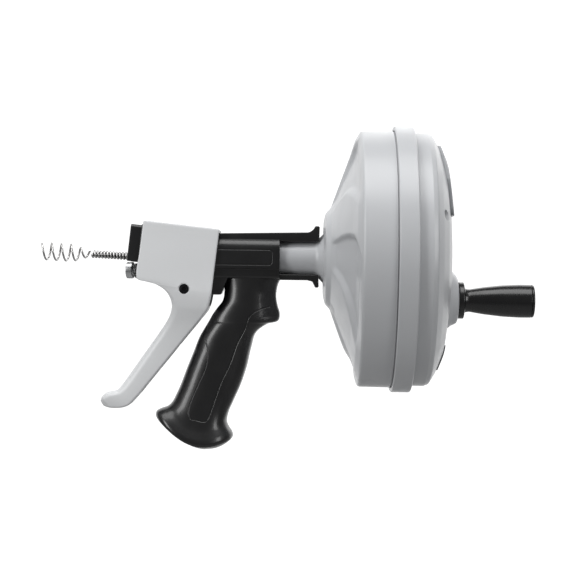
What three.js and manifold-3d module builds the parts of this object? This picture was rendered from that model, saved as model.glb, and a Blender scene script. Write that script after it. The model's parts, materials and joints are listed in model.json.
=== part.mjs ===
// Hand-held drain snake: a pistol-grip body, a squeeze trigger that closes three skewed rollers
// on the cable, and a drum full of cable that is spun by the knob on its back.
//
// Millimetres. X is the drum's axis: the cable's tip points to -X and the knob to +X. +Z is up,
// and the grip hangs to -Z. The origin is the centre of the flat hub on the drum's back.

import * as THREE from "three";
import { mergeVertices } from "three/addons/utils/BufferGeometryUtils.js";
import Module from "manifold-3d";

const wasm = await Module();
wasm.setup();

// ---------------------------------------------------------------------------------------
// Driving dimensions
// ---------------------------------------------------------------------------------------

const GAP = 0.3; // between pieces that touch
const LONG = 60; // reach of a cutter that runs right through

const CABLE = {
  radius: 3.175, // quarter-inch drain cable
  rear: -70, // inner end of the straight run, in the drum
  nose: -253, // where it leaves the rollers
  bulbStart: -281.3,
  bulbEnd: -320.3,
  rise: 0.05, // slope of the free end, upwards
  wire: 0.8, // wire radius
  bulbRadius: 6.45, // middle of the wire on the open coils
  neckRadius: 2.4, // middle of the wire where it leaves the tight winding
  bulbTurns: 5,
  flareTurns: 2,
};

const COIL = { front: -62, back: -22, inner: 56, outer: 78, corner: 5 };

const DRUM = {
  wall: 2.5,
  segments: 32,
  seam: -35, // where the front shell's rim ends, under the ring
  front: -99.4, // hub face round the neck
  hubEdge: 36,
  coneStart: [-94.6, 39.6],
  coneEnd: [-72.3, 99.6],
  rim: 100.4,
  back: 0,
  backDish: -3.2,
  backRim: 98.9,
  ring: { front: -46, back: -31, radius: 104 },
};

const POCKET = {
  count: 5, // hand-turning pockets round the cone
  centre: -6, // degrees above the horizontal on the -Y side
  soft: 7, // degrees over which a flank fades
  depth: 3.7,
  start: 38, // radii
  deepest: 78,
  end: 96,
};

const NECK = { end: -176, bore: 9.2, journal: 12, shoulder: -135, radius: 13.3, root: 14.2 };

const KNOB = {
  z: -31.5,
  seat: 6.3, // the boss's face
  end: 66.6,
  bore: 4.3,
  headBore: 8.2,
  headSeat: 41,
};

const DRUM_SCREW = { radius: 85, angles: [22, 142, 262], head: 3.3, shaft: 1.6, seat: -17.5 };

const BODY = {
  front: -228.5,
  tongueFront: -246.5,
  tongueHalf: 8,
  half: 18,
  lowerHalf: 16.4,
  back: -133.5,
  armEnd: -103,
  bore: 14.5,
  armBore: 15.1, // the rail and the arm curve round the neck
  guideBore: 5.8,
  seam: 0.15, // each shell stops this far from the middle
};

const PIVOT = { x: -207.2, z: -25.1, tilt: THREE.MathUtils.degToRad(6), hole: 3.9, pin: 3 };

const HEAD = { inner: 18.6, outer: 21.6, roof: 46.6, top: 49.2 };

const ROLLER = {
  radius: 6.5,
  width: 5,
  bore: 2.1,
  pin: 1.85,
  skew: THREE.MathUtils.degToRad(10),
  x: -250.6,
  spread: 9.9, // from the cable's axis when the trigger is squeezed
  lowerZ: -11,
};

// ---------------------------------------------------------------------------------------
// Finishes
// ---------------------------------------------------------------------------------------

const finish = (color, roughness, metalness) =>
  new THREE.MeshStandardMaterial({ color, roughness, metalness });

const FINISH = {
  drumGrey: finish(0xb9bcbe, 0.38, 0),
  triggerGrey: finish(0xc2c5c6, 0.45, 0),
  black: finish(0x17181a, 0.4, 0),
  steel: finish(0x8d9094, 0.35, 1),
  chrome: finish(0xd9dbde, 0.12, 1),
  blackSteel: finish(0x1b1c1e, 0.4, 0.8),
  nylon: finish(0xe4e1d6, 0.5, 0),
  label: finish(0x9da2a6, 0.5, 0),
};

// ---------------------------------------------------------------------------------------
// Solids
// ---------------------------------------------------------------------------------------

// A closed solid from a geometry, whichever way its faces were wound.
function solid(geometry) {
  const bare = new THREE.BufferGeometry();
  bare.setAttribute("position", geometry.getAttribute("position").clone());
  if (geometry.index) bare.setIndex(geometry.index.clone());
  const merged = mergeVertices(bare, 1e-4);
  const corners = [];
  for (let i = 0; i < merged.index.count; i += 3) {
    const [a, b, c] = [0, 1, 2].map((k) => merged.index.getX(i + k));
    if (a !== b && b !== c && c !== a) corners.push(a, b, c);
  }
  const made = manifoldOf(merged, corners);
  return made.volume() < 0 ? manifoldOf(merged, corners.reverse()) : made;
}

function manifoldOf(geometry, corners) {
  const vertProperties = geometry.getAttribute("position").array;
  const triVerts = new Uint32Array(corners);
  return new wasm.Manifold(new wasm.Mesh({ numProp: 3, vertProperties, triVerts }));
}

function meshOf(name, body, material) {
  const { vertProperties, triVerts } = body.getMesh();
  const geometry = new THREE.BufferGeometry();
  geometry.setAttribute("position", new THREE.BufferAttribute(vertProperties, 3));
  geometry.setIndex(new THREE.BufferAttribute(triVerts, 1));
  geometry.computeVertexNormals();
  const mesh = new THREE.Mesh(geometry, material);
  mesh.name = name;
  return mesh;
}

const join = (...bodies) => bodies.reduce((whole, body) => whole.add(body));
const cut = (body, ...cutters) => cutters.reduce((rest, cutter) => rest.subtract(cutter), body);

// Points of a closed outline from its corners [u, v, radius]; a radius rounds the corner, and a
// small one is a plain chamfer.
const CHAMFER = 2.1;
const ARC_STEP = Math.PI / 4;

function outline(corners) {
  const place = ([u, v]) => new THREE.Vector2(u, v);
  return corners.flatMap((entry, i) => {
    const corner = place(entry);
    const radius = entry[2] ?? 0;
    if (!radius) return [corner];
    const toLast = place(corners.at(i - 1)).sub(corner).normalize();
    const toNext = place(corners[(i + 1) % corners.length]).sub(corner).normalize();
    const half = Math.acos(THREE.MathUtils.clamp(toLast.dot(toNext), -1, 1)) / 2;
    const middle = toLast.clone().add(toNext).normalize();
    const centre = corner.clone().addScaledVector(middle, radius / Math.sin(half));
    const start = corner.clone().addScaledVector(toLast, radius / Math.tan(half)).sub(centre);
    const sweep = (Math.PI - 2 * half) * -Math.sign(toLast.cross(toNext));
    const steps = radius < CHAMFER ? 1 : Math.ceil(Math.abs(sweep) / ARC_STEP);
    return Array.from({ length: steps + 1 }, (_, k) =>
      start.clone().rotateAround(new THREE.Vector2(), (sweep * k) / steps).add(centre),
    );
  });
}

// Columns of a basis: where the geometry's own x, y and z axes go.
function turnedTo(geometry, x, y, z) {
  const basis = new THREE.Matrix4().makeBasis(x, y, z);
  return geometry.applyMatrix4(basis);
}

const X = new THREE.Vector3(1, 0, 0);
const Y = new THREE.Vector3(0, 1, 0);
const Z = new THREE.Vector3(0, 0, 1);

// An outline in the XZ plane, extruded from y0 to y1.
function plateY(corners, y0, y1) {
  const shape = new THREE.Shape(outline(corners));
  const geometry = new THREE.ExtrudeGeometry(shape, { depth: y1 - y0, bevelEnabled: false });
  return solid(turnedTo(geometry, X, Z, Y.clone().negate()).translate(0, y1, 0));
}

// An outline in the YZ plane, extruded from x0 to x1.
function plateX(corners, x0, x1) {
  const shape = new THREE.Shape(outline(corners));
  const geometry = new THREE.ExtrudeGeometry(shape, { depth: x1 - x0, bevelEnabled: false });
  return solid(turnedTo(geometry, Y, Z, X).translate(x0, 0, 0));
}

function block([x0, x1], [y0, y1], [z0, z1]) {
  const geometry = new THREE.BoxGeometry(x1 - x0, y1 - y0, z1 - z0);
  return solid(geometry.translate((x0 + x1) / 2, (y0 + y1) / 2, (z0 + z1) / 2));
}

// A profile of [x, radius] corners turned round the X axis, moved out to (y, z).
// A profile that leaves the axis open is closed on itself.
function turned(profile, { y = 0, z = 0, segments = 20, shape = null } = {}) {
  const points = outline(profile).map(({ x, y: radius }) => new THREE.Vector2(radius, x));
  const onAxis = points[0].x < 1e-6 && points.at(-1).x < 1e-6;
  if (!onAxis) points.push(points[0].clone());
  const geometry = turnedTo(new THREE.LatheGeometry(points, segments), Z, X, Y);
  if (shape) reshape(geometry, shape);
  return solid(geometry.translate(0, y, z));
}

function reshape(geometry, shape) {
  const position = geometry.getAttribute("position");
  const vertex = new THREE.Vector3();
  for (let i = 0; i < position.count; i++) {
    shape(vertex.fromBufferAttribute(position, i));
    position.setXYZ(i, vertex.x, vertex.y, vertex.z);
  }
}

const rod = (x0, x1, radius, options) =>
  turned([[x0, 0], [x0, radius], [x1, radius], [x1, 0]], options);

// The same turned profile, but round an axis parallel to Y through (x, z).
function turnedY(profile, { x, z, segments = 16 }) {
  const points = outline(profile).map(({ x: y, y: radius }) => new THREE.Vector2(radius, y));
  const onAxis = points[0].x < 1e-6 && points.at(-1).x < 1e-6;
  if (!onAxis) points.push(points[0].clone());
  return solid(new THREE.LatheGeometry(points, segments).translate(x, 0, z));
}

const rodY = (y0, y1, radius, place) =>
  turnedY([[y0, 0], [y0, radius], [y1, radius], [y1, 0]], place);

// A round tube along a smooth curve.
function tube(points, radius, steps, sides) {
  const circle = new THREE.Shape();
  circle.absarc(0, 0, radius, 0, 2 * Math.PI);
  const geometry = new THREE.ExtrudeGeometry(circle, {
    steps,
    curveSegments: sides / 2, // an arc gives two points to each
    bevelEnabled: false,
    extrudePath: new THREE.CatmullRomCurve3(points),
  });
  return solid(geometry);
}

// A closed form through oval sections. Each row gives the section's front and back points in
// the XZ plane and its half thickness in Y; power 2 is an ellipse and more is boxier.
function lofted(rows, power, sides = 20) {
  const geometry = new THREE.CylinderGeometry(1, 1, 1, sides, rows.length - 1);
  reshape(geometry, (vertex) => {
    const { front, back, half } = rows[Math.round((0.5 - vertex.y) * (rows.length - 1))];
    const swell = (value) => Math.sign(value) * Math.abs(value) ** (2 / power);
    const along = swell(vertex.x);
    const across = swell(vertex.z);
    const middle = new THREE.Vector2(...front).add(new THREE.Vector2(...back)).divideScalar(2);
    const reach = new THREE.Vector2(...back).sub(middle).multiplyScalar(along);
    vertex.set(middle.x + reach.x, across * half, middle.y + reach.y);
  });
  return solid(geometry);
}

// ---------------------------------------------------------------------------------------
// Drum
// ---------------------------------------------------------------------------------------

const fade = (value, low, high) => THREE.MathUtils.smoothstep(value, low, high);

// How far a hand pocket sinks the cone at this radius and angle, along +X.
function pocketDepth(radius, degrees) {
  const pitch = 360 / POCKET.count;
  const fromCentre = THREE.MathUtils.euclideanModulo(degrees - POCKET.centre + pitch / 2, pitch);
  const angle = fromCentre - pitch / 2;
  const out = THREE.MathUtils.clamp((radius - POCKET.start) / (POCKET.deepest - POCKET.start), 0, 1);
  const upper = 22 - 4 * out;
  const lower = -15 - 19 * out ** 2;
  const across =
    fade(upper - angle, 0, POCKET.soft) * fade(angle - lower, 0, POCKET.soft + 6 * out);
  const radial = out * fade(POCKET.end - radius, 0, POCKET.end - POCKET.deepest);
  return POCKET.depth * across * Math.max(radial, 0);
}

function sinkPockets(vertex) {
  const radius = Math.hypot(vertex.y, vertex.z);
  const degrees = THREE.MathUtils.radToDeg(Math.atan2(vertex.z, -vertex.y));
  if (vertex.x < DRUM.coneEnd[0] + 6) vertex.x += pocketDepth(radius, degrees);
}

const FRONT_OUTER = [
  [NECK.end, NECK.journal, 0.8],
  [NECK.shoulder, NECK.journal],
  [NECK.shoulder, NECK.radius],
  [-102.2, NECK.root, 3],
  [DRUM.front, 19, 1.5],
  [DRUM.front, DRUM.hubEdge - 1.5, 3],
  [...DRUM.coneStart, 4],
  [-84, 68],
  [-79.5, 80],
  [-75.6, 90.7],
  [...DRUM.coneEnd, 5],
  [DRUM.seam, DRUM.rim],
];

const FRONT_INNER = [
  [DRUM.seam, DRUM.rim - DRUM.wall],
  [-70.5, 97.2, 3],
  [-73.3, 89.8],
  [-77.2, 79.2],
  [-81.6, 67.2],
  [-92.3, 38.2, 3],
  [-96.9, 33.6, 1.5],
  [-96.9, 17.6, 1.5],
  [-100.4, 10.6, 4],
  [NECK.end, NECK.bore],
];

function onDrumScrews(make) {
  return DRUM_SCREW.angles.map((degrees) => {
    const angle = THREE.MathUtils.degToRad(degrees);
    return make({ y: -DRUM_SCREW.radius * Math.cos(angle), z: DRUM_SCREW.radius * Math.sin(angle) });
  });
}

function drumFrontShell() {
  const options = { segments: DRUM.segments, shape: sinkPockets };
  const shell = turned([...FRONT_OUTER, ...FRONT_INNER], options);
  const filled = turned([[NECK.end, 0], ...FRONT_OUTER, [DRUM.seam, 0]], options);
  const post = (at) => rod(-80, -21.5, 4.6, { ...at, segments: 16 });
  const pilot = (at) => rod(-44, -20, DRUM_SCREW.shaft + 0.15, { ...at, segments: 12 });
  const posts = onDrumScrews((at) => post(at).intersect(filled));
  const pilots = onDrumScrews(pilot);
  const groove = turned([[-171.8, 10.8], [-171.8, 13], [-169.9, 13], [-169.9, 10.8]]);
  return cut(join(shell, ...posts), ...pilots, groove);
}

const BACK_DOME = [
  [DRUM.backDish, 54, 10],
  [-7.2, 78, 14],
  [-12.2, 89.5, 6],
];

const BACK_OUTER = [
  [DRUM.back, 0],
  [DRUM.back, 15.5, 1],
  [DRUM.backDish, 18, 1],
  ...BACK_DOME,
  [-16.9, 97.6, 5],
  [-20.5, DRUM.backRim],
  [DRUM.ring.back, DRUM.backRim],
  [DRUM.ring.back, DRUM.ring.radius, 2],
  [DRUM.ring.front, DRUM.ring.radius, 2],
  [DRUM.ring.front, DRUM.rim + 0.5],
];

const BACK_INNER = [
  [DRUM.seam + 0.6, DRUM.rim + 0.5],
  [DRUM.seam + 0.6, DRUM.backRim - DRUM.wall],
  [-20.2, DRUM.backRim - DRUM.wall, 4],
  [-14.5, 88.2, 5],
  [-9.7, 77.3, 10],
  [DRUM.backDish - DRUM.wall, 53.6, 8],
  [DRUM.backDish - DRUM.wall, 0],
];

// The knob's boss leans towards the middle of the drum: its section shrinks and slides as it
// rises from the dish to the knob's seat.
function knobBoss(rootRadius, topRadius, rootX, topX) {
  const lean = (vertex) => {
    const rise = (vertex.x - rootX) / (topX - rootX);
    vertex.z += 3.5 * (1 - THREE.MathUtils.clamp(rise, 0, 1));
  };
  const profile = [
    [rootX, 0],
    [rootX, rootRadius],
    [rootX + 0.45 * (topX - rootX), 0.6 * topRadius + 0.4 * rootRadius, 14],
    [topX, topRadius, 1],
    [topX, 0],
  ];
  return turned(profile, { z: KNOB.z, segments: 24, shape: lean });
}

function drumBackShell() {
  const shell = turned([...BACK_OUTER, ...BACK_INNER], { segments: DRUM.segments });
  const boss = knobBoss(25, 15.2, DRUM.backDish - 1, KNOB.seat);
  const sleeve = rod(-8, KNOB.seat - 1, 7.5, { z: KNOB.z });
  const core = cut(knobBoss(22.5, 12.8, DRUM.backDish - 3, KNOB.seat - 3), sleeve);
  const wells = onDrumScrews((at) => rod(-21, -12, 5.6, { ...at, segments: 20 }));
  const recesses = onDrumScrews((at) => rod(DRUM_SCREW.seat, 5, 3.7, { ...at, segments: 20 }));
  const holes = onDrumScrews((at) => rod(-22, 0, DRUM_SCREW.shaft + 0.3, { ...at, segments: 12 }));
  const bore = rod(-20, 20, KNOB.bore, { z: KNOB.z });
  return cut(join(shell, boss, sleeve, ...wells), core, bore, ...recesses, ...holes);
}

// A plate that follows the back's dome between two heights above it, cut to a YZ outline.
function domePlate(corners, low, high) {
  const lift = (height) => BACK_DOME.map(([x, radius, round]) => [x + height, radius, round]);
  const profile = [
    [DRUM.backDish + low, 20],
    ...lift(low),
    [-13.6 + low, 92],
    [-13.6 + high, 92],
    ...lift(high).reverse(),
    [DRUM.backDish + high, 20],
  ];
  return turned(profile, { segments: DRUM.segments }).intersect(plateX(corners, -20, 10));
}

const LABEL_TOP = [
  [-57, 33, 5],
  [57, 33, 5],
  [52, 60, 8],
  [38, 79, 8],
  [18, 88.5, 18],
  [-18, 88.5, 18],
  [-38, 79, 8],
  [-52, 60, 8],
];

const LABEL_BOTTOM = [
  [-36, -66, 3],
  [5, -66, 3],
  [5, -85.5, 3],
  [-27, -85.5, 6],
];

function drumScrew({ y, z }) {
  const head = [
    [-40, 0],
    [-40, DRUM_SCREW.shaft],
    [DRUM_SCREW.seat + GAP, DRUM_SCREW.shaft],
    [DRUM_SCREW.seat + GAP, DRUM_SCREW.head],
    [DRUM_SCREW.seat + 2.6, DRUM_SCREW.head, 0.8],
    [DRUM_SCREW.seat + 2.6, 1.2],
    [DRUM_SCREW.seat + 1.2, 0],
  ];
  return turned(head, { y, z, segments: 10 });
}

// The cable from its straight run on the axis out to the inside of the coil: it swings outwards
// as it goes round, and ends lying along the coil.
function leadInPoints() {
  const count = 14;
  return Array.from({ length: count + 1 }, (_, i) => {
    const t = i / count;
    const angle = 4 * t ** 1.5;
    const radius = (COIL.inner - CABLE.radius - 1) * t * t * (3 - 2 * t);
    const x = -46 + 24 * (1 - (1 - t) ** 3);
    return new THREE.Vector3(x, radius * Math.cos(angle), radius * Math.sin(angle));
  });
}

function cableCoil() {
  const { front, back, inner, outer, corner } = COIL;
  const section = [
    [front, inner, corner],
    [front, outer, corner],
    [back, outer, corner],
    [back, inner, corner],
  ];
  return turned(section, { segments: 30 });
}

function neckRetainingRing() {
  const ring = turned([[-171.5, 11.1], [-171.5, 14], [-170.2, 14], [-170.2, 11.1]], { segments: 28 });
  return cut(ring, block([-175, -165], [-3, 3], [8, 20]));
}

// The spindle that the knob turns on, held in the boss by a nut inside the drum.
function knobSpindle() {
  const profile = [
    [-19, 0],
    [-19, 3.1, 0.6],
    [-5, 3.1],
    [-5, 4],
    [KNOB.headSeat + 2, 4],
    [KNOB.headSeat + 2, 6.5],
    [KNOB.headSeat + 6.5, 6.5, 1],
    [KNOB.headSeat + 6.5, 2.4],
    [KNOB.headSeat + 4, 0],
  ];
  return turned(profile, { z: KNOB.z, segments: 20 });
}

function hexNut(x0, x1, flats, hole, z) {
  const nut = rod(x0, x1, flats / Math.sqrt(3), { z, segments: 6 });
  return cut(nut, rod(x0 - 1, x1 + 1, hole, { z, segments: 16 }));
}

const washer = (x0, x1, inner, outer, z) =>
  turned([[x0, inner], [x0, outer], [x1, outer], [x1, inner]], { z });

// A saddle clip that pins the inner end of the cable to the back shell.
function cableAnchorClip() {
  const inside = DRUM.backDish - DRUM.wall - GAP;
  const foot = block([inside - 2, inside], [-8, 8], [40, 49]);
  const hook = block([inside - 11, inside - 2], [-8, -5.5], [40, 49]);
  const lip = block([inside - 13, inside - 10.6], [-8, 2], [40, 49]);
  return cut(join(foot, hook, lip), rod(-40, 0, 1.8, { y: 4.5, z: 44.5, segments: 12 }));
}

function anchorScrew() {
  const inside = DRUM.backDish - DRUM.wall - GAP;
  const profile = [
    [inside - 4.6, 0],
    [inside - 4.6, 2.9, 0.8],
    [inside - 2.3, 2.9],
    [inside - 2.3, 1.6],
    [inside - 0.4, 1.6],
    [inside - 0.4, 0],
  ];
  return turned(profile, { y: 4.5, z: 44.5, segments: 12 });
}

// ---------------------------------------------------------------------------------------
// Knob
// ---------------------------------------------------------------------------------------

function knobBody() {
  const profile = [
    [KNOB.seat + GAP, KNOB.bore + 0.1],
    [KNOB.seat + GAP, 14.4, 0.8],
    [10.9, 14.4, 0.8],
    [11.2, 9.6, 0.8],
    [14.5, 8.7, 4],
    [26, 10, 20],
    [41, 12.1, 30],
    [54, 13, 30],
    [63.5, 12.9, 0.8],
    [63.5, KNOB.headBore],
    [KNOB.headSeat, KNOB.headBore],
    [KNOB.headSeat, KNOB.bore + 0.1],
  ];
  return turned(profile, { z: KNOB.z, segments: 20 });
}

function knobEndCap() {
  const profile = [
    [55, 0],
    [55, KNOB.headBore - GAP],
    [63.8, KNOB.headBore - GAP],
    [63.8, 12.9],
    [65.8, 12.8, 0.9],
    [KNOB.end, 6, 10],
    [KNOB.end, 0],
  ];
  return turned(profile, { z: KNOB.z, segments: 20 });
}

// ---------------------------------------------------------------------------------------
// Cable
// ---------------------------------------------------------------------------------------

// Height of the cable's middle: level in the body, then rising past the nose.
const cableHeight = (x) => CABLE.rise * Math.max(0, CABLE.nose - x);

function cableRun() {
  const stations = [CABLE.rear, -120, -180, -230, -248, -256, -264, -272, -281];
  const points = stations.map((x) => new THREE.Vector3(x, 0, cableHeight(x)));
  return tube(points, CABLE.radius, 16, 12);
}

// The open, flared winding at the tip: a right-handed helix that widens over its first turns.
function cableBulb() {
  const perTurn = 14;
  const steps = CABLE.bulbTurns * perTurn;
  const start = CABLE.bulbStart - CABLE.wire;
  const points = Array.from({ length: steps + 1 }, (_, i) => {
    const turns = i / perTurn;
    const angle = 2 * Math.PI * turns;
    const flare = fade(turns, 0, CABLE.flareTurns);
    const radius = THREE.MathUtils.lerp(CABLE.neckRadius, CABLE.bulbRadius, flare);
    const x = THREE.MathUtils.lerp(start, CABLE.bulbEnd, i / steps);
    const height = cableHeight(x) + radius * Math.cos(angle);
    return new THREE.Vector3(x, radius * Math.sin(angle), height);
  });
  return tube(points, CABLE.wire, steps, 6);
}

// ---------------------------------------------------------------------------------------
// Body
// ---------------------------------------------------------------------------------------

const BARREL_SECTION = [
  [-BODY.half, -16.5, 3],
  [BODY.half, -16.5, 3],
  [BODY.half, 15.6, 10],
  [-BODY.half, 15.6, 10],
];

const TOP_RAIL = [
  [-224, 13],
  [-224, 17.7],
  [-108.4, 20.1, 2],
  [-106.2, 25, 1.2],
  [-102.6, 25, 1.2],
  [-102.8, 12.8],
  [-140, 12.8],
];

const BOTTOM_ARM = [
  [-140, -12.8],
  [-103.2, -12.8],
  [-103, -22.9, 0.8],
  [-105.8, -22.9, 0.8],
  [-108.2, -17.2, 2],
  [-140, -17.2],
];

const LOWER_BLOCK = [
  [BODY.front, -8],
  [BODY.front, -15, 2],
  [-216, -22, 4],
  [-210, -29.3, 3],
  [-179, -29.3],
  [-170, -8],
];

const TONGUE = [
  [BODY.tongueFront, -5.6],
  [BODY.front + 1, -5.6],
  [BODY.front + 1, -17.5],
  [BODY.tongueFront, -17.5, 2],
];

const GRIP = [
  { front: [-178, -13], back: [-131, -13], half: 15.5 },
  { front: [-176.6, -26], back: [-135.2, -23], half: 15.8 },
  { front: [-177.8, -33.4], back: [-135.9, -30], half: 16 },
  { front: [-182.3, -39.8], back: [-134.6, -37.6], half: 16.2 },
  { front: [-185.5, -44.5], back: [-133, -43], half: 16.4 },
  { front: [-188, -49], back: [-134, -48.2], half: 16.5 },
  { front: [-190, -52.4], back: [-142.9, -51.9], half: 16.6 },
  { front: [-195.4, -61.9], back: [-151, -58], half: 16.8 },
  { front: [-200.3, -74.5], back: [-154.7, -69], half: 17 },
  { front: [-205.3, -87.2], back: [-158.4, -85.5], half: 17 },
  { front: [-209.9, -99.8], back: [-163.5, -100.8], half: 17 },
  { front: [-213.3, -107.5], back: [-168.6, -112.5], half: 17.2 },
  { front: [-216.5, -113.6], back: [-172.3, -121.5], half: 17.8 },
  { front: [-220.8, -117.4], back: [-173.4, -127.6], half: 19 },
  { front: [-226.2, -120.2], back: [-171.6, -132], half: 21.5 },
  { front: [-228.8, -122.8], back: [-169.2, -136.8], half: 23 },
  { front: [-228.9, -126.2], back: [-168.7, -139.8], half: 23.2 },
  { front: [-227, -131], back: [-169.9, -143.2], half: 22.4 },
  { front: [-219.5, -139.4], back: [-174, -147.2], half: 19 },
  { front: [-207.5, -146], back: [-182, -150.4], half: 12 },
  { front: [-199, -149], back: [-190, -150.6], half: 5 },
];

// Screw places in XZ, and how far in from the far side each head sits.
const BODY_SCREWS = [
  { x: -223, z: -11.2, face: 18 },
  { x: -200, z: 11.6, face: 18 },
  { x: -189, z: -23.5, face: 18 },
  { x: -143, z: -25, face: 14 },
  { x: -170, z: -64, face: 16.5 },
  { x: -188, z: -110, face: 17 },
];

const SCREW = { head: 3.2, shaft: 1.6, sink: 3.5, headHeight: 2.2, length: 22 };

// The grip drawn in from its skin by a wall, and stopped short of its base.
function gripHollow(wall) {
  const rows = GRIP.slice(1, 17).map(({ front, back, half }) => {
    const along = new THREE.Vector2(back[0] - front[0], back[1] - front[1]).normalize();
    const step = along.multiplyScalar(wall);
    return {
      front: [front[0] + step.x, front[1] + step.y],
      back: [back[0] - step.x, back[1] - step.y],
      half: half - wall,
    };
  });
  return lofted(rows, 2.5, 16);
}

function bodySolid() {
  const outer = join(
    plateX(BARREL_SECTION, BODY.front, BODY.back),
    plateY(TOP_RAIL, -13, 13),
    plateY(BOTTOM_ARM, -12, 12),
    plateY(LOWER_BLOCK, -BODY.lowerHalf, BODY.lowerHalf),
    plateY(TONGUE, -BODY.tongueHalf, BODY.tongueHalf),
    lofted(GRIP, 2.5),
  );
  const hollow = join(
    gripHollow(3),
    block([-222, -184], [-14.5, 14.5], [8.2, 14]),
    block([-199, -182], [-14.5, 14.5], [-26.5, -8]),
  );
  const bosses = BODY_SCREWS.map(({ x, z }) => rodY(-20, 20, 3.8, { x, z, segments: 16 }));
  return cut(outer, cut(hollow, ...bosses), ...bodyCutters());
}

function bodyCutters() {
  const journal = rod(-178, BODY.back + 8, BODY.bore, { segments: 24 });
  const groove = rod(-174, -168, BODY.bore + 0.6, { segments: 24 });
  const neckRoom = rod(BODY.back - 2, -90, BODY.armBore, { segments: 24 });
  const guide = rod(-240, -170, BODY.guideBore);
  const pin = rodY(-30, 30, PIVOT.pin + GAP, { x: PIVOT.x, z: PIVOT.z });
  const springBay = block([-216, -198.6], [-6.5, 6.5], [-36, -16.2]);
  const rollerPin = skewed(rod(-12, 16, ROLLER.pin + GAP), -1, 0).translate([
    ROLLER.x,
    0,
    ROLLER.lowerZ,
  ]);
  const screws = BODY_SCREWS.flatMap(({ x, z, face }) => [
    rodY(face - SCREW.sink, 30, SCREW.head + 0.4, { x, z, segments: 20 }),
    rodY(-BODY.seam - 1, face, SCREW.shaft + 0.3, { x, z, segments: 12 }),
    rodY(face - SCREW.sink - SCREW.length - 1, 0, SCREW.shaft + 0.15, { x, z, segments: 12 }),
  ]);
  return [journal, groove, neckRoom, guide, pin, springBay, rollerPin, ...screws];
}

function bodyShell(side) {
  const [low, high] = side < 0 ? [-LONG, -BODY.seam] : [BODY.seam, LONG];
  return bodySolid().intersect(block([-300, 0], [low, high], [-200, 60]));
}

function bodyScrew({ x, z, face }) {
  const seat = face - SCREW.sink + GAP;
  const profile = [
    [seat - SCREW.length, 0],
    [seat - SCREW.length, SCREW.shaft, 0.5],
    [seat, SCREW.shaft],
    [seat, SCREW.head],
    [seat + SCREW.headHeight, SCREW.head, 0.8],
    [seat + SCREW.headHeight, 1.2],
    [seat + SCREW.headHeight - 1.3, 0],
  ];
  return turnedY(profile, { x, z, segments: 8 });
}

const cableGuide = () => turned([[-228.2, 3.6], [-228.2, 5.5], [-178.4, 5.5], [-178.4, 3.6]]);

function neckBushing() {
  const inner = NECK.journal + GAP;
  const outer = BODY.bore - GAP;
  return turned([[-168.6, inner], [-168.6, outer], [-136, outer], [-136, inner]]);
}

function pivotPin() {
  const profile = [
    [-20.9, 0],
    [-20.2, 1.6],
    [-20.9, 1.6],
    [-20.9, 3.6, 0.4],
    [-19, 3.6],
    [-19, PIVOT.pin],
    [21.8, PIVOT.pin],
    [21.8, PIVOT.pin - 0.6],
    [23, PIVOT.pin - 0.6],
    [23, PIVOT.pin],
    [24.2, PIVOT.pin, 0.5],
    [24.2, 0],
  ];
  return turnedY(profile, { x: PIVOT.x, z: PIVOT.z });
}

function pivotClip() {
  const ring = turnedY([[22, 2.7], [22, 6], [22.8, 6], [22.8, 2.7]], { x: PIVOT.x, z: PIVOT.z });
  const { x, z } = PIVOT;
  return cut(ring, block([x - 2.2, x + 2.2], [20, 25], [z - 8, z]));
}

// A torsion spring round the pivot pin, with a leg on the body and a leg on the lever.
function triggerReturnSpring() {
  const [radius, wire, turns, perTurn] = [5, 0.7, 3.5, 12];
  const at = (x, y, z) => new THREE.Vector3(PIVOT.x + x, y, PIVOT.z + z);
  const coil = Array.from({ length: turns * perTurn + 1 }, (_, i) => {
    const angle = Math.PI / 2 + (2 * Math.PI * i) / perTurn;
    const along = THREE.MathUtils.lerp(4.4, -4.4, i / (turns * perTurn));
    return at(radius * Math.cos(angle), along, radius * Math.sin(angle));
  });
  const bodyLeg = [at(7.4, 4.6, 7.3), at(3.6, 4.6, 5.9)];
  const leverLeg = [at(3.6, -4.6, -5.6), at(7, -4.6, -7.4)];
  return tube([...bodyLeg, ...coil, ...leverLeg], wire, turns * perTurn + 8, 6);
}

// ---------------------------------------------------------------------------------------
// Rollers: each lies along the cable, skewed about the line from the cable to the roller
// ---------------------------------------------------------------------------------------

// Direction of a roller's axis, for a roller that sits at (y, z) from the cable on a unit circle.
function skewAxis(y, z) {
  const across = new THREE.Vector3(0, z, -y).multiplyScalar(Math.sin(ROLLER.skew));
  return across.addScaledVector(X, Math.cos(ROLLER.skew));
}

// Turns a body that lies along X onto a roller's skewed axis.
function skewed(body, z, y) {
  const { x: ax, y: ay, z: az } = skewAxis(y, z);
  const yaw = THREE.MathUtils.radToDeg(Math.atan2(ay, ax));
  const pitch = -THREE.MathUtils.radToDeg(Math.asin(az));
  return body.rotate([0, pitch, yaw]);
}

function roller() {
  const half = ROLLER.width / 2;
  const profile = [
    [-half, ROLLER.bore],
    [-half, ROLLER.radius, 0.5],
    [half, ROLLER.radius, 0.5],
    [half, ROLLER.bore],
  ];
  return turned(profile, { segments: 20 });
}

// A roller's pin, pressed flush into the bearing.
function rollerPin(tail) {
  return turned([[-ROLLER.width / 2, 0], [-ROLLER.width / 2, ROLLER.pin], [tail, ROLLER.pin], [tail, 0]], {
    segments: 16,
  });
}

// ---------------------------------------------------------------------------------------
// Trigger, in its own frame: the origin is the pivot, and the head is level
// ---------------------------------------------------------------------------------------

const TRIGGER_OUTLINE = [
  [-37.2, HEAD.top, 2],
  [21.8, HEAD.top, 1.5],
  [21.3, -12, 9],
  [-33.3, -98.6, 9],
  [-56.4, -98.9, 4.5],
  [-55.8, -88.4, 4.5],
  [-42.9, -84.9, 5],
  [-8.6, -22, 14],
  [-7.6, -0.8, 11],
  [-37.8, 3.2, 1.5],
];

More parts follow.
